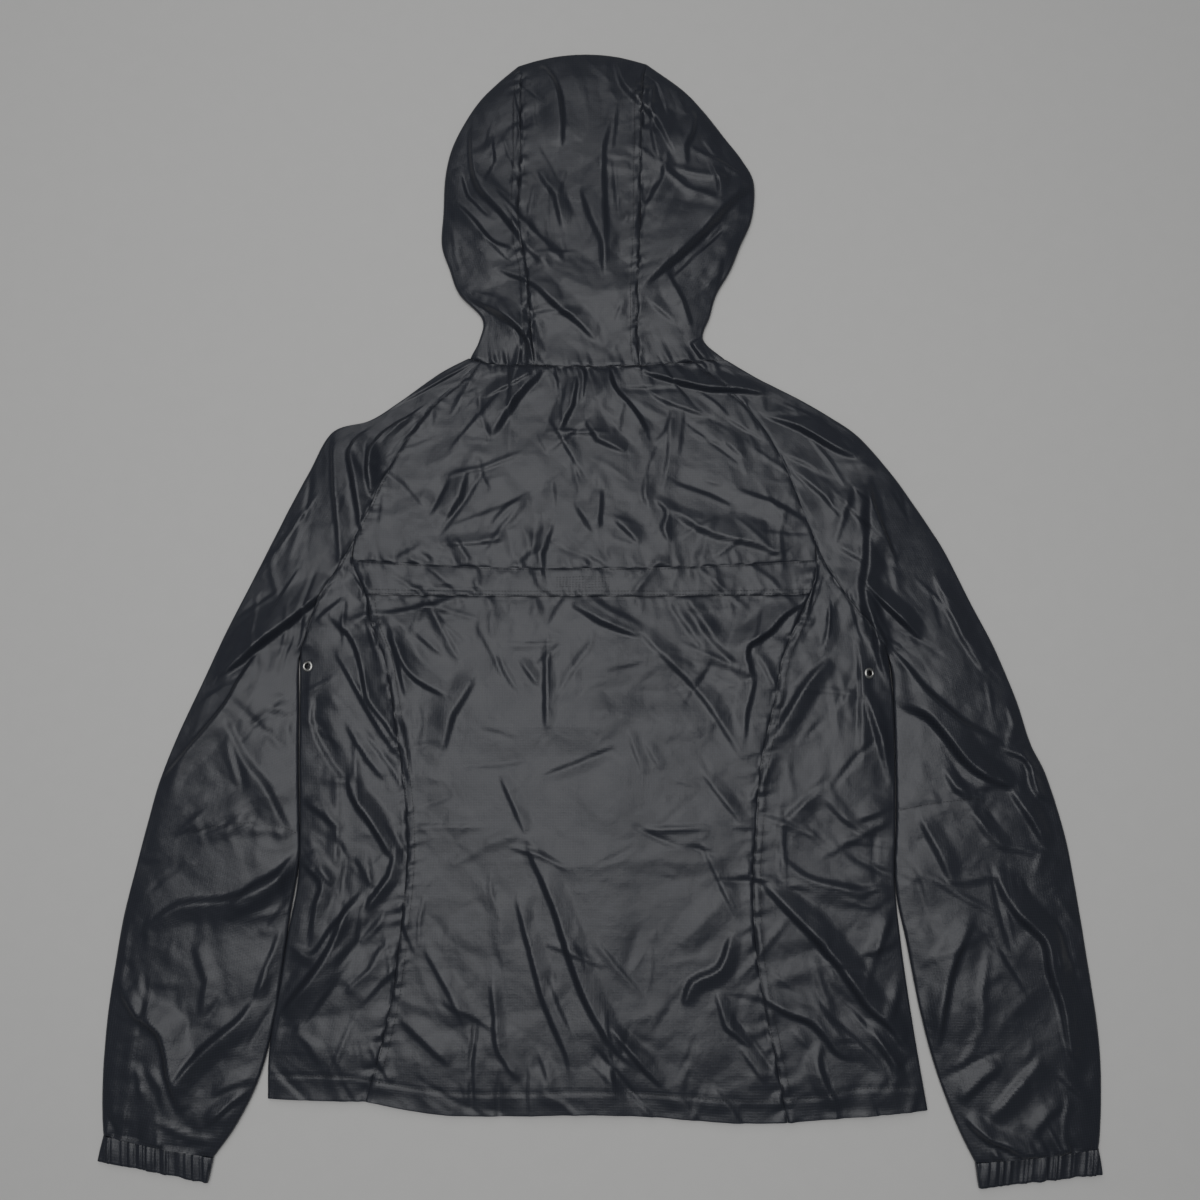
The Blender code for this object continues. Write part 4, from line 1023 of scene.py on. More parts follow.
def front_points(side, height):
    """Front panel, flat on the surface, with a quarter turn up at the side fold."""
    upper, lower, curl = 60, 84, 6
    share = np.linspace(0.0, 1.0, upper)
    angles = neck_angles(6)
    seam = front_raglan(side, share)
    seam[:, 0] -= side * SEAM
    knots = np.linspace(0.0, 1.0, 12)
    marks = front_raglan(side, knots)
    inner_marks = np.stack([np.full(12, side * ZIP_GAP * MM),
                            marks[:, 1] + (0.114 - marks[:, 1]) * (1.0 - knots) * 0.5], axis=-1)
    inner_marks[:6] = neck_line(side, angles, 0.2)
    inner = np.stack([np.interp(share, knots, inner_marks[:, i]) for i in (0, 1)], axis=-1)
    y = np.linspace(SIDES[0][0], SIDES[-1][0], lower + 1)[1:] * MM
    fold_x = side_x(side, y) - side * SPLIT
    low_edge = np.stack([fold_x, settled(fold_x, y)], axis=-1)
    zip_x = np.full(lower, side * ZIP_GAP * MM)
    low_inner = np.stack([zip_x, settled(zip_x, y)], axis=-1)
    edge, inner = np.concatenate([seam, low_edge]), np.concatenate([inner, low_inner])
    below = smoothstep(0.056, 0.066, -edge[:, 1]) * (np.arange(len(edge)) >= upper)
    outward = toward(inner, edge, (side, 0.0))
    bend = edge - outward * (EDGE / 2.0)
    tall = height(bend[:, 0], bend[:, 1])
    shares = np.concatenate([np.linspace(0.0, 0.16, 10), np.linspace(0.2, 1.0, 24)])
    plan = spread(inner, bend, shares)
    top = lying(plan, front_lift(plan))
    plan = spread(bend, edge, even(curl, (False, True)))
    flat = lying(plan, front_lift(plan))
    curled = turned(edge, outward, tall, np.linspace(-76.0, -4.0, curl))
    return np.concatenate([top, mixed(flat, curled, below)], axis=1)


def hood_side_points(side, height):
    """Side of the hood: from its seam to the outline, right round, and in towards the face."""
    at = np.linspace(0.0, len(HOOD) - 1.0, 164)
    seam, edge, under = hood_lines(side, at)
    outward = toward(seam, edge, (side, 0.0))
    width = np.linalg.norm(edge - seam, axis=-1)
    radius = np.minimum(EDGE / 2.0, 0.4 * width)[:, None]
    bend = edge - outward * radius
    plan = spread(seam, bend, even(56))
    first = (np.clip(1.0 - at, 0.0, 1.0) ** 3)[:, None]
    plan[..., 1] += first * (across_at(NECK, plan[..., 0]) + 2.0 * SEAM - plan[..., 1])
    top = raised(plan, height)
    outer = turned(edge, outward, top[:, -1, 2], np.linspace(90.0, -90.0, 10)[1:-1])
    end = edge - outward * under[:, None]
    return np.concatenate([top, outer, lying(spread(bend, end, even(16)))], axis=1)


def hood_centre_points(height):
    """Middle panel of the hood: between its seams, over the brim and a little way under."""
    share = np.linspace(0.0, 1.0, 70)
    at = np.linspace(0.0, len(HOOD) - 1.0, 164)
    left, right = hood_lines(-1, at)[0], hood_lines(1, at)[0]
    left[:, 0] += 2.0 * SEAM
    right[:, 0] -= 2.0 * SEAM
    plan = np.swapaxes(spread(left, right, share), 0, 1)
    first = (np.clip(1.0 - at, 0.0, 1.0) ** 3)[None, :]
    plan[..., 1] += first * (across_at(NECK, plan[..., 0]) + 2.0 * SEAM - plan[..., 1])
    edge = crown_line(share)
    outward = toward(plan[:, -1], edge, (0.0, 1.0))
    bend = edge - outward * (EDGE / 2.0)
    brim = spread(plan[:, -1], bend, even(7, (False, True)))
    top = raised(np.concatenate([plan, brim], axis=1), height)
    outer = turned(edge, outward, top[:, -1, 2], np.linspace(90.0, -90.0, 10)[1:-1])
    end = edge - outward * HOOD[-1][8] * MM
    return np.concatenate([top, outer, lying(spread(bend, end, even(10)))], axis=1)


def hood_front_points(side):
    """Lower front of the hood, between the neckline and the edge round the face."""
    angles = neck_angles(44)
    half, deep, drop = FACE
    outer = neck_line(side, angles, -0.4)
    turn = np.radians(angles)
    face = np.stack([side * np.maximum(half * np.cos(turn), ZIP_GAP),
                     NECK_POINT - drop - deep * np.sin(turn)], axis=-1) * MM
    corner = np.array([NECK_CORNER[side]]) * MM
    start = np.array([(side * half, NECK_POINT - drop)]) * MM
    lead = even(8, (True, False))[:, None]
    outer = np.concatenate([corner + (outer[:1] - corner) * lead, outer])
    face = np.concatenate([start + (face[:1] - start) * lead, face])
    plan = spread(outer, face, even(14))
    return lying(plan, front_lift(plan))


# ---- materials ---------------------------------------------------------------------------------
def new_group(name, inputs, outputs):
    """Shader node group with named sockets; returns the group and its two end nodes."""
    group = bpy.data.node_groups.new(name, "ShaderNodeTree")
    for label, kind, value in inputs:
        socket = group.interface.new_socket(name=label, in_out="INPUT", socket_type=kind)
        if value is not None:
            socket.default_value = value
    for label, kind in outputs:
        group.interface.new_socket(name=label, in_out="OUTPUT", socket_type=kind)
    return group, group.nodes.new("NodeGroupInput"), group.nodes.new("NodeGroupOutput")


def maths(tree, operation, first, second=None):
    """Math node on sockets or numbers; returns its output."""
    node = tree.nodes.new("ShaderNodeMath")
    node.operation = operation
    for socket, value in zip(node.inputs, (first, second)):
        if value is None:
            continue
        if isinstance(value, bpy.types.NodeSocket):
            tree.links.new(value, socket)
        else:
            socket.default_value = value
    return node.outputs[0]


def ripstop_group():
    """Ripstop grid over a plain weave: thread mask and height from a position in metres."""
    known = bpy.data.node_groups.get("ripstop weave")
    if known:
        return known
    group, ends, out = new_group(
        "ripstop weave",
        (("Position", "NodeSocketVector", None), ("Pitch", "NodeSocketFloat", 0.002)),
        (("Threads", "NodeSocketFloat"), ("Height", "NodeSocketFloat")))
    apart = group.nodes.new("ShaderNodeSeparateXYZ")
    group.links.new(ends.outputs["Position"], apart.inputs[0])
    ribs, weave = [], []
    for axis in ("X", "Y"):
        turns = maths(group, "DIVIDE", apart.outputs[axis], ends.outputs["Pitch"])
        middle = maths(group, "ABSOLUTE", maths(group, "SUBTRACT", maths(group, "FRACT", turns), 0.5))
        past = maths(group, "MAXIMUM", maths(group, "SUBTRACT", middle, 0.38), 0.0)
        ribs.append(maths(group, "SMOOTH_MIN", maths(group, "MULTIPLY", past, 9.0), 1.0))
        weave.append(maths(group, "SINE", maths(group, "MULTIPLY", turns, 8.0 * math.tau)))
    threads = maths(group, "MAXIMUM", ribs[0], ribs[1])
    fine = maths(group, "MULTIPLY", maths(group, "MULTIPLY", weave[0], weave[1]), 0.18)
    group.links.new(threads, out.inputs["Threads"])
    group.links.new(maths(group, "ADD", threads, fine), out.inputs["Height"])
    return group


def crinkle_group():
    """Small wrinkles and soft mottling from a position in metres."""
    known = bpy.data.node_groups.get("fine crinkle")
    if known:
        return known
    group, ends, out = new_group(
        "fine crinkle",
        (("Position", "NodeSocketVector", None), ("Size", "NodeSocketFloat", 60.0)),
        (("Height", "NodeSocketFloat"), ("Mottle", "NodeSocketFloat")))
    noise = group.nodes.new("ShaderNodeTexNoise")
    noise.inputs["Scale"].default_value = 38.0
    noise.inputs["Detail"].default_value = 4.0
    noise.inputs["Roughness"].default_value = 0.6
    group.links.new(ends.outputs["Position"], noise.inputs["Vector"])
    total = maths(group, "MULTIPLY", noise.outputs["Fac"], 0.35)
    for times, share in ((1.0, 0.6), (2.7, 0.28)):
        folds = group.nodes.new("ShaderNodeTexNoise")
        folds.noise_type = "RIDGED_MULTIFRACTAL"
        folds.inputs["Detail"].default_value = 3.0
        folds.inputs["Roughness"].default_value = 0.45
        folds.inputs["Distortion"].default_value = 0.5
        group.links.new(ends.outputs["Position"], folds.inputs["Vector"])
        group.links.new(maths(group, "MULTIPLY", ends.outputs["Size"], times), folds.inputs["Scale"])
        total = maths(group, "ADD", total, maths(group, "MULTIPLY", folds.outputs["Fac"], share))
    group.links.new(total, out.inputs["Height"])
    group.links.new(noise.outputs["Fac"], out.inputs["Mottle"])
    return group


def placed(tree, group, **values):
    """Group node with its number inputs set."""
    node = tree.nodes.new("ShaderNodeGroup")
    node.node_tree = group
    for label, value in values.items():
        node.inputs[label].default_value = value
    return node


def ranged(tree, source, low, high):
    """Remap a 0 to 1 value to another range."""
    node = tree.nodes.new("ShaderNodeMapRange")
    tree.links.new(source, node.inputs["Value"])
    node.inputs["To Min"].default_value = low
    node.inputs["To Max"].default_value = high
    return node.outputs[0]


def tinted(tree, factor, low, high):
    """Mix of two colours by a factor."""
    node = tree.nodes.new("ShaderNodeMix")
    node.data_type = "RGBA"
    tree.links.new(factor, node.inputs["Factor"])
    node.inputs[6].default_value = (*low, 1.0)
    node.inputs[7].default_value = (*high, 1.0)
    return node.outputs[2]


def bumped(tree, height, distance, strength=1.0, normal=None):
    """Bump node from a height; returns its normal."""
    node = tree.nodes.new("ShaderNodeBump")
    node.inputs["Strength"].default_value = strength
    node.inputs["Distance"].default_value = distance
    tree.links.new(height, node.inputs["Height"])
    if normal:
        tree.links.new(normal, node.inputs["Normal"])
    return node.outputs[0]


def new_material(name):
    """Empty Principled material; returns it with its tree, shader and coordinate node."""
    made = bpy.data.materials.new(name)
    made.use_nodes = True
    tree = made.node_tree
    return made, tree, tree.nodes["Principled BSDF"], tree.nodes.new("ShaderNodeTexCoord")


def nylon():
    """Thin ripstop nylon, near-black with a navy cast and a soft gloss."""
    known = bpy.data.materials.get("ripstop_nylon")
    if known:
        return known
    look = bpy.context.scene.windbreaker_cloth
    made, tree, shader, place = new_material("ripstop_nylon")
    weave = placed(tree, ripstop_group(), Pitch=look.ripstop)
    tree.links.new(place.outputs["UV"], weave.inputs["Position"])
    crinkle = placed(tree, crinkle_group(), Size=19.0)
    tree.links.new(place.outputs["Object"], crinkle.inputs["Position"])
    colour = tuple(look.colour)
    lit = tuple(min(1.0, c * 1.45) for c in colour)
    tree.links.new(tinted(tree, weave.outputs["Threads"], colour, lit), shader.inputs["Base Color"])
    tree.links.new(ranged(tree, crinkle.outputs["Mottle"], look.gloss - 0.05, look.gloss + 0.07),
                   shader.inputs["Roughness"])
    soft = bumped(tree, crinkle.outputs["Height"], 0.0025, 0.9)
    tree.links.new(bumped(tree, weave.outputs["Height"], 0.00005, 0.7, soft), shader.inputs["Normal"])
    shader.inputs["Specular IOR Level"].default_value = 0.55
    shader.inputs["Sheen Weight"].default_value = 0.05
    shader.inputs["Sheen Roughness"].default_value = 0.4
    return made


def thread():
    """Twisted polyester sewing thread."""
    known = bpy.data.materials.get("sewing_thread")
    if known:
        return known
    made, tree, shader, place = new_material("sewing_thread")
    twist = tree.nodes.new("ShaderNodeTexWave")
    twist.bands_direction = "DIAGONAL"
    twist.inputs["Scale"].default_value = 900.0
    tree.links.new(place.outputs["Object"], twist.inputs["Vector"])
    tree.links.new(tinted(tree, twist.outputs["Fac"], (0.010, 0.011, 0.015), (0.060, 0.062, 0.072)),
                   shader.inputs["Base Color"])
    tree.links.new(bumped(tree, twist.outputs["Fac"], 0.00005), shader.inputs["Normal"])
    shader.inputs["Roughness"].default_value = 0.62
    return made


def tape():
    """Woven zip tape with a herringbone."""
    made, tree, shader, place = new_material("woven_tape")
    bands = tree.nodes.new("ShaderNodeTexWave")
    bands.bands_direction = "DIAGONAL"
    bands.inputs["Scale"].default_value = 480.0
    bands.inputs["Distortion"].default_value = 1.5
    tree.links.new(place.outputs["Object"], bands.inputs["Vector"])
    tree.links.new(tinted(tree, bands.outputs["Fac"], (0.012, 0.012, 0.014), (0.030, 0.030, 0.033)),
                   shader.inputs["Base Color"])
    tree.links.new(bumped(tree, bands.outputs["Fac"], 0.0001), shader.inputs["Normal"])
    shader.inputs["Roughness"].default_value = 0.8
    return made


def coil():
    """Moulded nylon coil."""
    made, tree, shader, place = new_material("nylon_coil")
    worn = tree.nodes.new("ShaderNodeTexNoise")
    worn.inputs["Scale"].default_value = 300.0
    tree.links.new(place.outputs["Object"], worn.inputs["Vector"])
    tree.links.new(tinted(tree, worn.outputs["Fac"], (0.010, 0.010, 0.012), (0.022, 0.022, 0.025)),
                   shader.inputs["Base Color"])
    tree.links.new(ranged(tree, worn.outputs["Fac"], 0.35, 0.55), shader.inputs["Roughness"])
    return made


def nickel():
    """Satin nickel plate with faint rubbing marks."""
    known = bpy.data.materials.get("satin_nickel")
    if known:
        return known
    made, tree, shader, place = new_material("satin_nickel")
    marks = tree.nodes.new("ShaderNodeTexNoise")
    marks.inputs["Scale"].default_value = 700.0
    marks.inputs["Detail"].default_value = 5.0
    tree.links.new(place.outputs["Object"], marks.inputs["Vector"])
    tree.links.new(tinted(tree, marks.outputs["Fac"], (0.50, 0.49, 0.46), (0.70, 0.69, 0.66)),
                   shader.inputs["Base Color"])
    tree.links.new(ranged(tree, marks.outputs["Fac"], 0.22, 0.40), shader.inputs["Roughness"])
    tree.links.new(bumped(tree, marks.outputs["Fac"], 0.00002), shader.inputs["Normal"])
    shader.inputs["Metallic"].default_value = 1.0
    return made


def floor_material():
    """Plain pale floor that doesn't hide the underside from below."""
    look = bpy.context.scene.windbreaker_stage
    made, tree, shader, place = new_material("pale_floor")
    grit = tree.nodes.new("ShaderNodeTexNoise")
    grit.inputs["Scale"].default_value = 60.0
    tree.links.new(place.outputs["Object"], grit.inputs["Vector"])
    pale = tuple(look.floor_colour)
    tree.links.new(tinted(tree, grit.outputs["Fac"], tuple(0.96 * c for c in pale), pale),
                   shader.inputs["Base Color"])
    shader.inputs["Roughness"].default_value = 0.9
    side = tree.nodes.new("ShaderNodeNewGeometry")
    clear = tree.nodes.new("ShaderNodeBsdfTransparent")
    mix = tree.nodes.new("ShaderNodeMixShader")
    tree.links.new(side.outputs["Backfacing"], mix.inputs[0])
    tree.links.new(shader.outputs[0], mix.inputs[1])
    tree.links.new(clear.outputs[0], mix.inputs[2])
    tree.links.new(mix.outputs[0], tree.nodes["Material Output"].inputs["Surface"])
    return made


# ---- stitching ---------------------------------------------------------------------------------
STITCH = (1.05, 0.26, 0.20)      # half length, half width and half height, millimetres
STITCH_PITCH = 2.7


def walked(path, pitch):
    """Points at even steps along a path, each with its direction."""
    path = np.asarray(path, float)
    steps = np.linalg.norm(np.diff(path, axis=0), axis=-1)
    run = np.concatenate([[0.0], np.cumsum(steps)])
    count = max(2, int(run[-1] / pitch))
    marks = (np.arange(count) + 0.5) * run[-1] / count
    spots = np.stack([np.interp(marks, run, path[:, i]) for i in (0, 1)], axis=-1)
    ahead = np.stack([np.interp(marks + 0.3 * pitch, run, path[:, i]) for i in (0, 1)], axis=-1)
    return spots, ahead - spots


def sew(name, paths, proud=0.26, pitch=STITCH_PITCH):
    """One piece of stitches along plan paths, lying on the top layer."""
    bm = bmesh.new()
    spots, runs = zip(*(walked(path, pitch * MM) for path in paths))
    spots, runs = np.concatenate(spots), np.concatenate(runs)
    tips = spots + runs
    low, high = top_height(spots[:, 0], spots[:, 1]), top_height(tips[:, 0], tips[:, 1])
    for (x, y), (dx, dy), z0, z1 in zip(spots, runs, low, high):
        forward = Vector((dx, dy, z1 - z0)).normalized()
        across = Vector((0.0, 0.0, 1.0)).cross(forward).normalized()
        frame_axes = Matrix((forward, across, forward.cross(across))).transposed().to_4x4()
        size = Matrix.Diagonal(Vector((*(value * MM for value in STITCH), 1.0)))
        place = Matrix.Translation((x, y, z0 + proud * MM))
        bmesh.ops.create_icosphere(bm, subdivisions=1, radius=1.0, matrix=place @ frame_axes @ size)
    mesh = bpy.data.meshes.new(name)
    bm.to_mesh(mesh)
    bm.free()
    mesh.shade_smooth()
    mesh.materials.append(thread())
    piece = bpy.data.objects.new(name, mesh)
    bpy.context.scene.collection.objects.link(piece)
    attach(piece, JACKET)
    return piece


def beside(path, gap):
    """Path moved to its left by a gap in millimetres."""
    path = np.asarray(path, float)
    run = np.gradient(path, axis=0)
    run /= np.linalg.norm(run, axis=-1, keepdims=True)
    return path + np.stack([-run[:, 1], run[:, 0]], axis=-1) * gap * MM


def stitch_raglan():
    """Single topstitch on the body side of each raglan seam."""
    y = np.linspace(RAGLAN[0][0] - 5, RAGLAN[-1][0] + 8, 90) * MM
    paths = []
    for side in (-1, 1):
        paths.append(beside(np.stack([raglan_x(side, y), y], axis=-1), -side * 1.8))
    return sew("stitch_raglan", paths)


def stitch_princess():
    """Two rows along each felled princess seam."""
    y = np.linspace(PRINCESS[2][0] - 2, PRINCESS[-1][0] + 20, 120) * MM
    paths = []
    for side in (-1, 1):
        x = princess_x(side, y)
        seam = np.stack([x, settled(x, y)], axis=-1)
        paths += [beside(seam, 1.3), beside(seam, 6.3)]
    return sew("stitch_princess", paths)


def stitch_hood():
    """Two rows along each felled hood seam."""
    paths = []
    for side in (-1, 1):
        seam = hood_lines(side, np.linspace(0.1, len(HOOD) - 1.05, 90))[0]
        paths += [beside(seam, 1.3), beside(seam, 6.3)]
    return sew("stitch_hood", paths)


def stitch_neck():
    """Row under the neck seam."""
    x = np.linspace(NECK[0][0] + 16, NECK[-1][0] - 30, 60) * MM
    return sew("stitch_neck", [np.stack([x, across_at(NECK, x) - 1.9 * MM], axis=-1)])


def stitch_band():
    """Band edges and plain bar-tack rows near the middle."""
    share = np.linspace(0.004, 0.996, 90)
    paths = []
    rows = ((1, *BAND[:2], -1.6), (2, *BAND[2:], 1.4), (2, *BAND[2:], 4.4))
    for row, ends, middle, inset in rows:
        left, right = PRINCESS[row][1] * MM, PRINCESS[row][2] * MM
        x = left + (right - left) * share
        paths.append(np.stack([x, band_level(share, ends, middle) + inset * MM], axis=-1))
    for row in range(5):
        x = np.linspace(-39, 7, 30)
        paths.append(np.stack([x, 0.4 + 2.1 * row + 0.35 * np.sin(x / 6.0 + row)], axis=-1) * MM)
    return sew("stitch_band", paths, proud=0.85)


def stitch_hem():
    """Row along the top of the turned hem."""
    x = np.linspace(HEM[0][0] + 8, HEM[-1][0] - 8, 160) * MM
    return sew("stitch_hem", [np.stack([x, across_at(HEM, x) + HEM_DEPTH * MM], axis=-1)])


def stitch_sleeves():
    """Elbow darts and the row above each cuff."""
    paths = []
    for side in (-1, 1):
        knots = np.arange(len(ELBOW[side]))
        at = np.linspace(0.0, knots[-1], 40)
        dart = np.array(ELBOW[side], float) * MM
        dart = np.stack([smooth_curve(knots, dart[:, i], at) for i in (0, 1)], axis=-1)
        paths.append(beside(dart, 1.6 * side))
        inner, outer = np.array(SLEEVE[side][-1][2:]) * MM, np.array(SLEEVE[side][-1][:2]) * MM
        line = inner + (outer - inner) * np.linspace(0.04, 0.96, 40)[:, None]
        paths.append(beside(line, 1.6 * side))
    return sew("stitch_sleeves", paths)


# ---- zip and eyelets ---------------------------------------------------------------------------
def mesh_piece(name, bm, finish, body):
    """Object from a finished bmesh, riding on its body."""
    mesh = bpy.data.meshes.new(name)
    bm.to_mesh(mesh)
    bm.free()
    mesh.shade_smooth()
    mesh.set_sharp_from_angle(angle=math.radians(40.0))
    mesh.materials.append(finish)
    piece = bpy.data.objects.new(name, mesh)
    bpy.context.scene.collection.objects.link(piece)
    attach(piece, body)
    return piece


def coil_teeth():
    """Closed coil: short round bars across the centre line, leaning left and right in turn."""
    low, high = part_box("zip_chain")
    pitch, radius = 1.6 * MM, 0.62 * MM
    bm = bmesh.new()
    count = int((high.y - low.y) / pitch)
    middle = (low.z + high.z) / 2.0
    for i in range(count):
        y = low.y + (i + 0.5) * pitch
        lean = math.radians(14.0 if i % 2 else -14.0)
        place = (Matrix.Translation((0.0, y, middle)) @ Matrix.Rotation(lean, 4, "Z")
                 @ Matrix.Rotation(math.radians(90.0), 4, "Y"))
        bmesh.ops.create_cone(bm, cap_ends=True, segments=8, radius1=radius, radius2=radius,
                              depth=high.x - low.x, matrix=place)
    piece = mesh_piece("zip_coil", bm, coil(), JACKET)
    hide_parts("zip_chain")
    return piece


def eyelet(side):
    """Rolled metal eyelet set in the side panel, tilted with the cloth."""
    x, y = (value * MM for value in EYELETS[side])
    near = 4.0 * MM
    spots = np.array([(x - near, y), (x + near, y), (x, y - near), (x, y + near)])
    z = top_height(spots[:, 0], spots[:, 1])
    normal = Vector((z[0] - z[1], z[2] - z[3], 2.0 * near)).normalized()
    profile = ((2.35, -1.4), (2.35, 0.2), (2.55, 0.62), (3.1, 0.95), (3.8, 0.92), (4.4, 0.55),
               (4.7, 0.1), (4.6, -0.15), (3.2, -0.10), (2.75, -0.5), (2.7, -1.4))
    bm = bmesh.new()
    loop = [bm.verts.new((r * MM, 0.0, h * MM)) for r, h in profile]
    edges = [bm.edges.new((a, b)) for a, b in zip(loop, loop[1:] + loop[:1])]
    bmesh.ops.spin(bm, geom=loop + edges, cent=(0.0, 0.0, 0.0), axis=(0.0, 0.0, 1.0),
                   angle=math.tau, steps=40, use_merge=True)
    bmesh.ops.remove_doubles(bm, verts=bm.verts, dist=0.000005)
    bmesh.ops.recalc_face_normals(bm, faces=bm.faces)
    lean = Vector((0.0, 0.0, 1.0)).rotation_difference(normal).to_matrix().to_4x4()
    place = Matrix.Translation((x, y, float(z.mean()) + 0.25 * MM)) @ lean
    bmesh.ops.transform(bm, matrix=place, verts=bm.verts)
    letter = "L" if side < 0 else "R"
    piece = mesh_piece(f"eyelet_ring_{letter}", bm, nickel(), JACKET)
    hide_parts(f"eyelet_{letter}")
    return piece


def cut_hole(piece, side):
    """Open the cloth under an eyelet."""
    x, y = (value * MM for value in EYELETS[side])
    bm = bmesh.new()
    bm.from_mesh(piece.data)
    centre = Vector((x, y))
    inside = [face for face in bm.faces
              if (face.calc_center_median().xy - centre).length < 2.9 * MM]
    bmesh.ops.delete(bm, geom=inside, context="FACES")
    bm.to_mesh(piece.data)
    bm.free()


# ---- settings, operators and panel -------------------------------------------------------------
class WindbreakerCloth(bpy.types.PropertyGroup):
    """Sizes and colours of the cloth."""

    thickness: FloatProperty(name="Thickness", description="Thickness of the cloth shells",
                             default=0.0004, min=0.0001, max=0.002, unit="LENGTH")
    colour: FloatVectorProperty(name="Colour", description="Colour of the nylon", subtype="COLOR",
                                size=3, min=0.0, max=1.0, default=(0.025, 0.027, 0.036))
    gloss: FloatProperty(name="Roughness", description="Roughness of the nylon", subtype="FACTOR",
                         default=0.33, min=0.0, max=1.0)
    crumple: FloatProperty(name="Crumpling", description="Strength of the small crumpled facets",
                           subtype="FACTOR", default=1.0, min=0.0, max=2.0)
    ripstop: FloatProperty(name="Ripstop pitch", description="Distance between the ripstop threads",
                           default=0.0021, min=0.0005, max=0.01, unit="LENGTH")


class WindbreakerStage(bpy.types.PropertyGroup):
    """Floor, light and camera."""

    floor_colour: FloatVectorProperty(name="Floor colour", description="Colour of the floor",
                                      subtype="COLOR", size=3, min=0.0, max=1.0,
                                      default=(0.72, 0.71, 0.69))
    light_power: FloatProperty(name="Light power",
                               description="Power of the overhead soft light in watts",
                               default=16.5, min=0.0)
    world_level: FloatProperty(name="Surroundings", description="Brightness of the surroundings",
                               default=0.10, min=0.0, max=5.0)
    view_angle: FloatProperty(name="View angle", description="Camera's angle of view",
                              subtype="ANGLE", default=math.radians(54.0), min=0.1, max=2.5)


class JACKET_OT_back(bpy.types.Operator):
    """Build the yoke, the band and the centre back"""

    bl_idname = "jacket.back"
    bl_label = "Back"

    def execute(self, context):
        """Three panels of the back."""
        fronts = ("front_L", "front_R")
        for name, node, points, below in (
                ("yoke", "back_yoke", yoke_points, fronts),
                ("back_casing_band", "back_band", band_points, ("back_yoke", "back_centre")),
                ("centre_back", "back_centre", centre_points, fronts)):
            flat = points(level_height)
            piece = cloth_object(name, points(top_height), flat)
            finish_cloth(piece, [node], flat)
        return {"FINISHED"}


class JACKET_OT_sides(bpy.types.Operator):
    """Build the side panels with their eyelet holes"""

    bl_idname = "jacket.sides"
    bl_label = "Side panels"

    def execute(self, context):
        """A panel for each side."""
        for side, letter in ((-1, "L"), (1, "R")):
            flat = side_points(side, level_height)
            piece = cloth_object(f"side_panel_{letter}", side_points(side, top_height), flat)
            cut_hole(piece, side)
            finish_cloth(piece, [f"back_side_{letter}"], flat)
        return {"FINISHED"}


class JACKET_OT_sleeves(bpy.types.Operator):
    """Build the sleeves and their gathered cuffs"""

    bl_idname = "jacket.sleeves"
    bl_label = "Sleeves and cuffs"

    def execute(self, context):
        """A sleeve and a cuff for each side."""
        for side, letter in ((-1, "L"), (1, "R")):
            flat = sleeve_points(side, level_height)
            piece = cloth_object(f"sleeve_{letter}_cloth", sleeve_points(side, top_height), flat)
            finish_cloth(piece, [f"sleeve_{letter}"], flat)
            flat = cuff_points(side, level_height)
            piece = cloth_object(f"cuff_{letter}_casing", cuff_points(side, top_height), flat)
            finish_cloth(piece, [f"cuff_{letter}"], flat)
        return {"FINISHED"}


class JACKET_OT_fronts(bpy.types.Operator):
    """Build the fronts, which lie on the floor"""

    bl_idname = "jacket.fronts"
    bl_label = "Fronts"

    def execute(self, context):
        """A front for each side."""
        for side, letter in ((-1, "L"), (1, "R")):
            flat = front_points(side, level_height)
            piece = cloth_object(f"front_{letter}_cloth", front_points(side, top_height), flat,
                                 upward=False)
            finish_cloth(piece, [f"front_{letter}"], flat)
        return {"FINISHED"}


class JACKET_OT_hood(bpy.types.Operator):
    """Build the hood's centre, sides and lower fronts"""

    bl_idname = "jacket.hood"
    bl_label = "Hood"

    def execute(self, context):
        """Five panels of the hood."""
        flat = hood_centre_points(level_height)
        piece = cloth_object("hood_middle", hood_centre_points(top_height), flat)
        finish_cloth(piece, ["hood_centre"], flat)
        for side, letter in ((-1, "L"), (1, "R")):
            flat = hood_side_points(side, level_height)
            piece = cloth_object(f"hood_side_{letter}_cloth",
                                 hood_side_points(side, top_height), flat)
            finish_cloth(piece, [f"hood_side_{letter}"], flat)
            flat = hood_front_points(side)
            piece = cloth_object(f"hood_front_{letter}_cloth", flat, flat, upward=False)
            finish_cloth(piece, [f"hood_front_{letter}"], flat)
        return {"FINISHED"}


class JACKET_OT_hardware(bpy.types.Operator):
    """Finish the zip and set the eyelets"""

    bl_idname = "jacket.hardware"
    bl_label = "Zip and eyelets"

    def execute(self, context):
        """Coil, tapes, slider, tab and eyelets."""
        coil_teeth()
        woven = tape()
        for name, finish in (("zip_tape_L", woven), ("zip_tape_R", woven),
                             ("zip_slider", nickel()), ("zip_pull", nickel())):
            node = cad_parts[name]
            node.data.materials.clear()
            node.data.materials.append(finish)
        for side in (-1, 1):
            eyelet(side)
        return {"FINISHED"}


class JACKET_OT_stitching(bpy.types.Operator):
    """Sew every topstitched line"""

    bl_idname = "jacket.stitching"
    bl_label = "Stitching"

    def execute(self, context):
        """All rows of stitches."""
        stitch_raglan()
        stitch_princess()
        stitch_hood()
        stitch_neck()
        stitch_band()
        stitch_hem()
        stitch_sleeves()
        return {"FINISHED"}


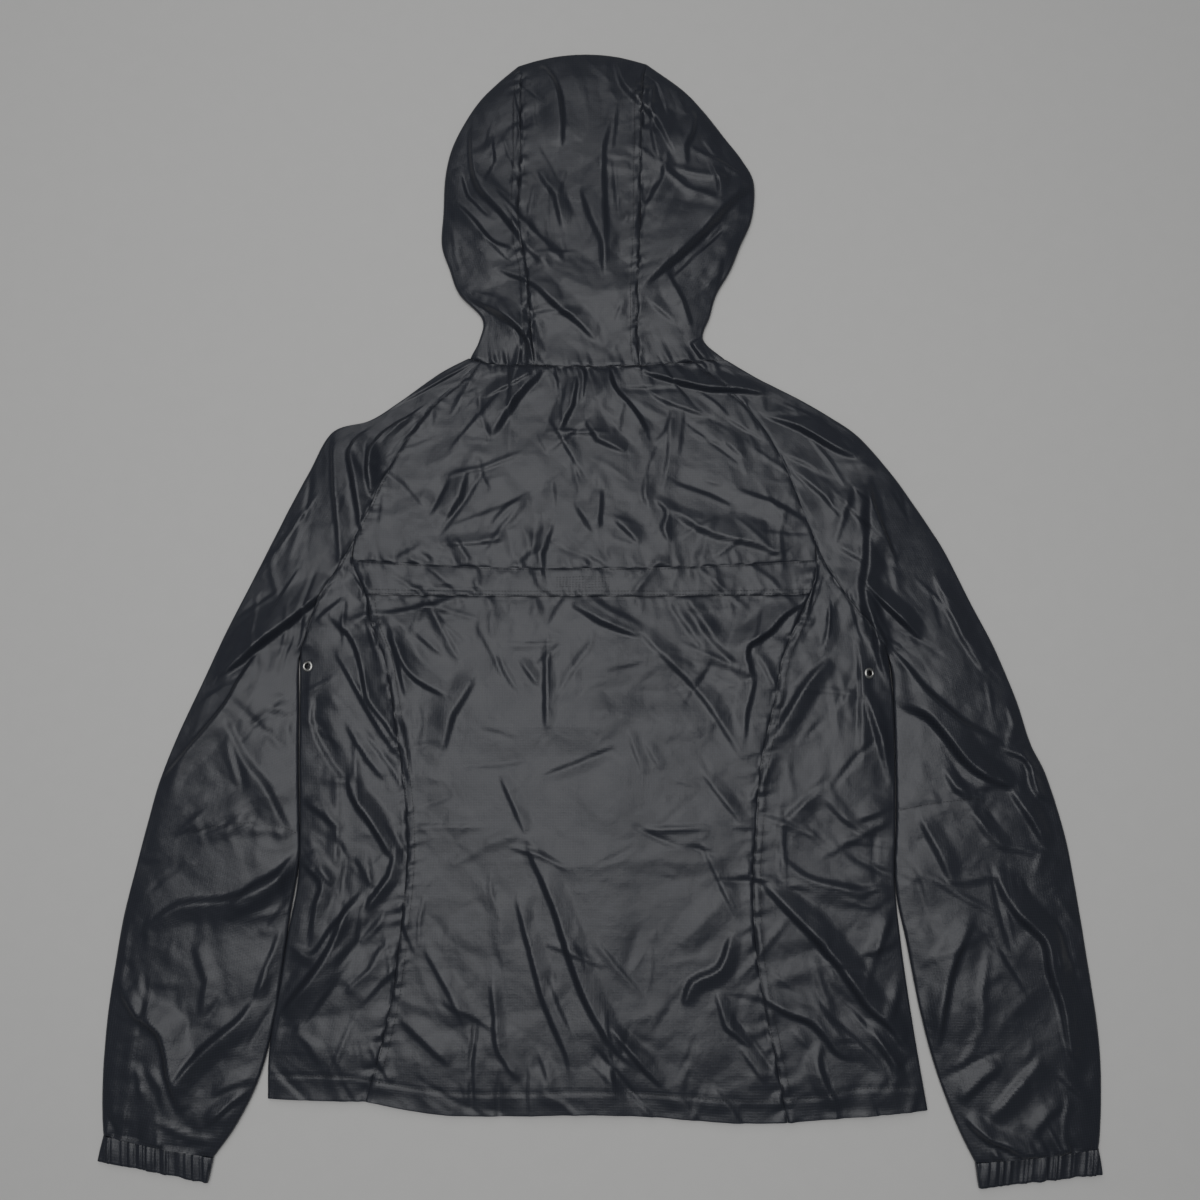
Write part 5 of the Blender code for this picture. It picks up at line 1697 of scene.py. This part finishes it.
class JACKET_OT_stage(bpy.types.Operator):
    """Lay the floor and set the light and the camera"""

    bl_idname = "jacket.stage"
    bl_label = "Stage"

    def execute(self, context):
        """Floor, overhead soft light, surroundings and camera."""
        look = context.scene.windbreaker_stage
        bm = bmesh.new()
        bmesh.ops.create_grid(bm, x_segments=4, y_segments=4, size=4.0)
        mesh = bpy.data.meshes.new("floor")
        bm.to_mesh(mesh)
        bm.free()
        mesh.transform(Matrix.Translation((0.0, 0.0, -0.0004)))
        mesh.materials.append(floor_material())
        floor = bpy.data.objects.new("floor", mesh)
        context.scene.collection.objects.link(floor)
        floor.visible_shadow = False
        lamps = (("overhead", (-0.12, -0.05, 1.75), 1.5, 1.0),
                 ("fill", (-0.25, 1.15, 1.5), 1.1, 0.22),
                 ("underneath", (0.2, -0.3, -1.5), 1.4, 0.8))
        for name, place, size, share in lamps:
            lamp = bpy.data.lights.new(name, "AREA")
            lamp.shape = "SQUARE"
            lamp.size = size
            lamp.energy = share * look.light_power
            light = bpy.data.objects.new(name, lamp)
            light.location = place
            light.rotation_euler = (-Vector(place)).to_track_quat("-Z", "Y").to_euler()
            context.scene.collection.objects.link(light)
        world = bpy.data.worlds.new("surroundings")
        world.use_nodes = True
        world.node_tree.nodes["Background"].inputs["Color"].default_value = (0.88, 0.94, 1.0, 1.0)
        world.node_tree.nodes["Background"].inputs["Strength"].default_value = look.world_level
        context.scene.world = world
        eye, target = Vector((-0.0015, -0.1309, 0.9884)), Vector((-0.0015, -0.0095, 0.0))
        lens = bpy.data.cameras.new("camera")
        lens.angle = look.view_angle
        camera = bpy.data.objects.new("camera", lens)
        camera.location = eye
        camera.rotation_euler = (target - eye).to_track_quat("-Z", "Y").to_euler()
        context.scene.collection.objects.link(camera)
        context.scene.camera = camera
        return {"FINISHED"}


STEPS = (JACKET_OT_stage, JACKET_OT_back, JACKET_OT_sides, JACKET_OT_sleeves, JACKET_OT_fronts,
         JACKET_OT_hood, JACKET_OT_hardware, JACKET_OT_stitching)


class JACKET_PT_panel(bpy.types.Panel):
    """Settings and steps of the windbreaker"""

    bl_idname = "JACKET_PT_panel"
    bl_label = "Windbreaker"
    bl_space_type = "VIEW_3D"
    bl_region_type = "UI"
    bl_category = "Windbreaker"

    def draw(self, context):
        """Settings first, then a button for each step."""
        layout = self.layout
        for group in (context.scene.windbreaker_cloth, context.scene.windbreaker_stage):
            for name in group.bl_rna.properties.keys():
                if name not in {"rna_type", "name"}:
                    layout.prop(group, name)
        for step in STEPS:
            layout.operator(step.bl_idname)


CLASSES = (WindbreakerCloth, WindbreakerStage, *STEPS, JACKET_PT_panel)


def register():
    """Add the classes and the scene's settings."""
    for made in CLASSES:
        bpy.utils.register_class(made)
    bpy.types.Scene.windbreaker_cloth = PointerProperty(type=WindbreakerCloth)
    bpy.types.Scene.windbreaker_stage = PointerProperty(type=WindbreakerStage)


def unregister():
    """Remove the scene's settings and the classes."""
    del bpy.types.Scene.windbreaker_stage
    del bpy.types.Scene.windbreaker_cloth
    for made in reversed(CLASSES):
        bpy.utils.unregister_class(made)


def main():
    """Build everything in order."""
    register()
    for step in STEPS:
        group, name = step.bl_idname.split(".")
        getattr(getattr(bpy.ops, group), name)()


if __name__ == "__main__":
    main()
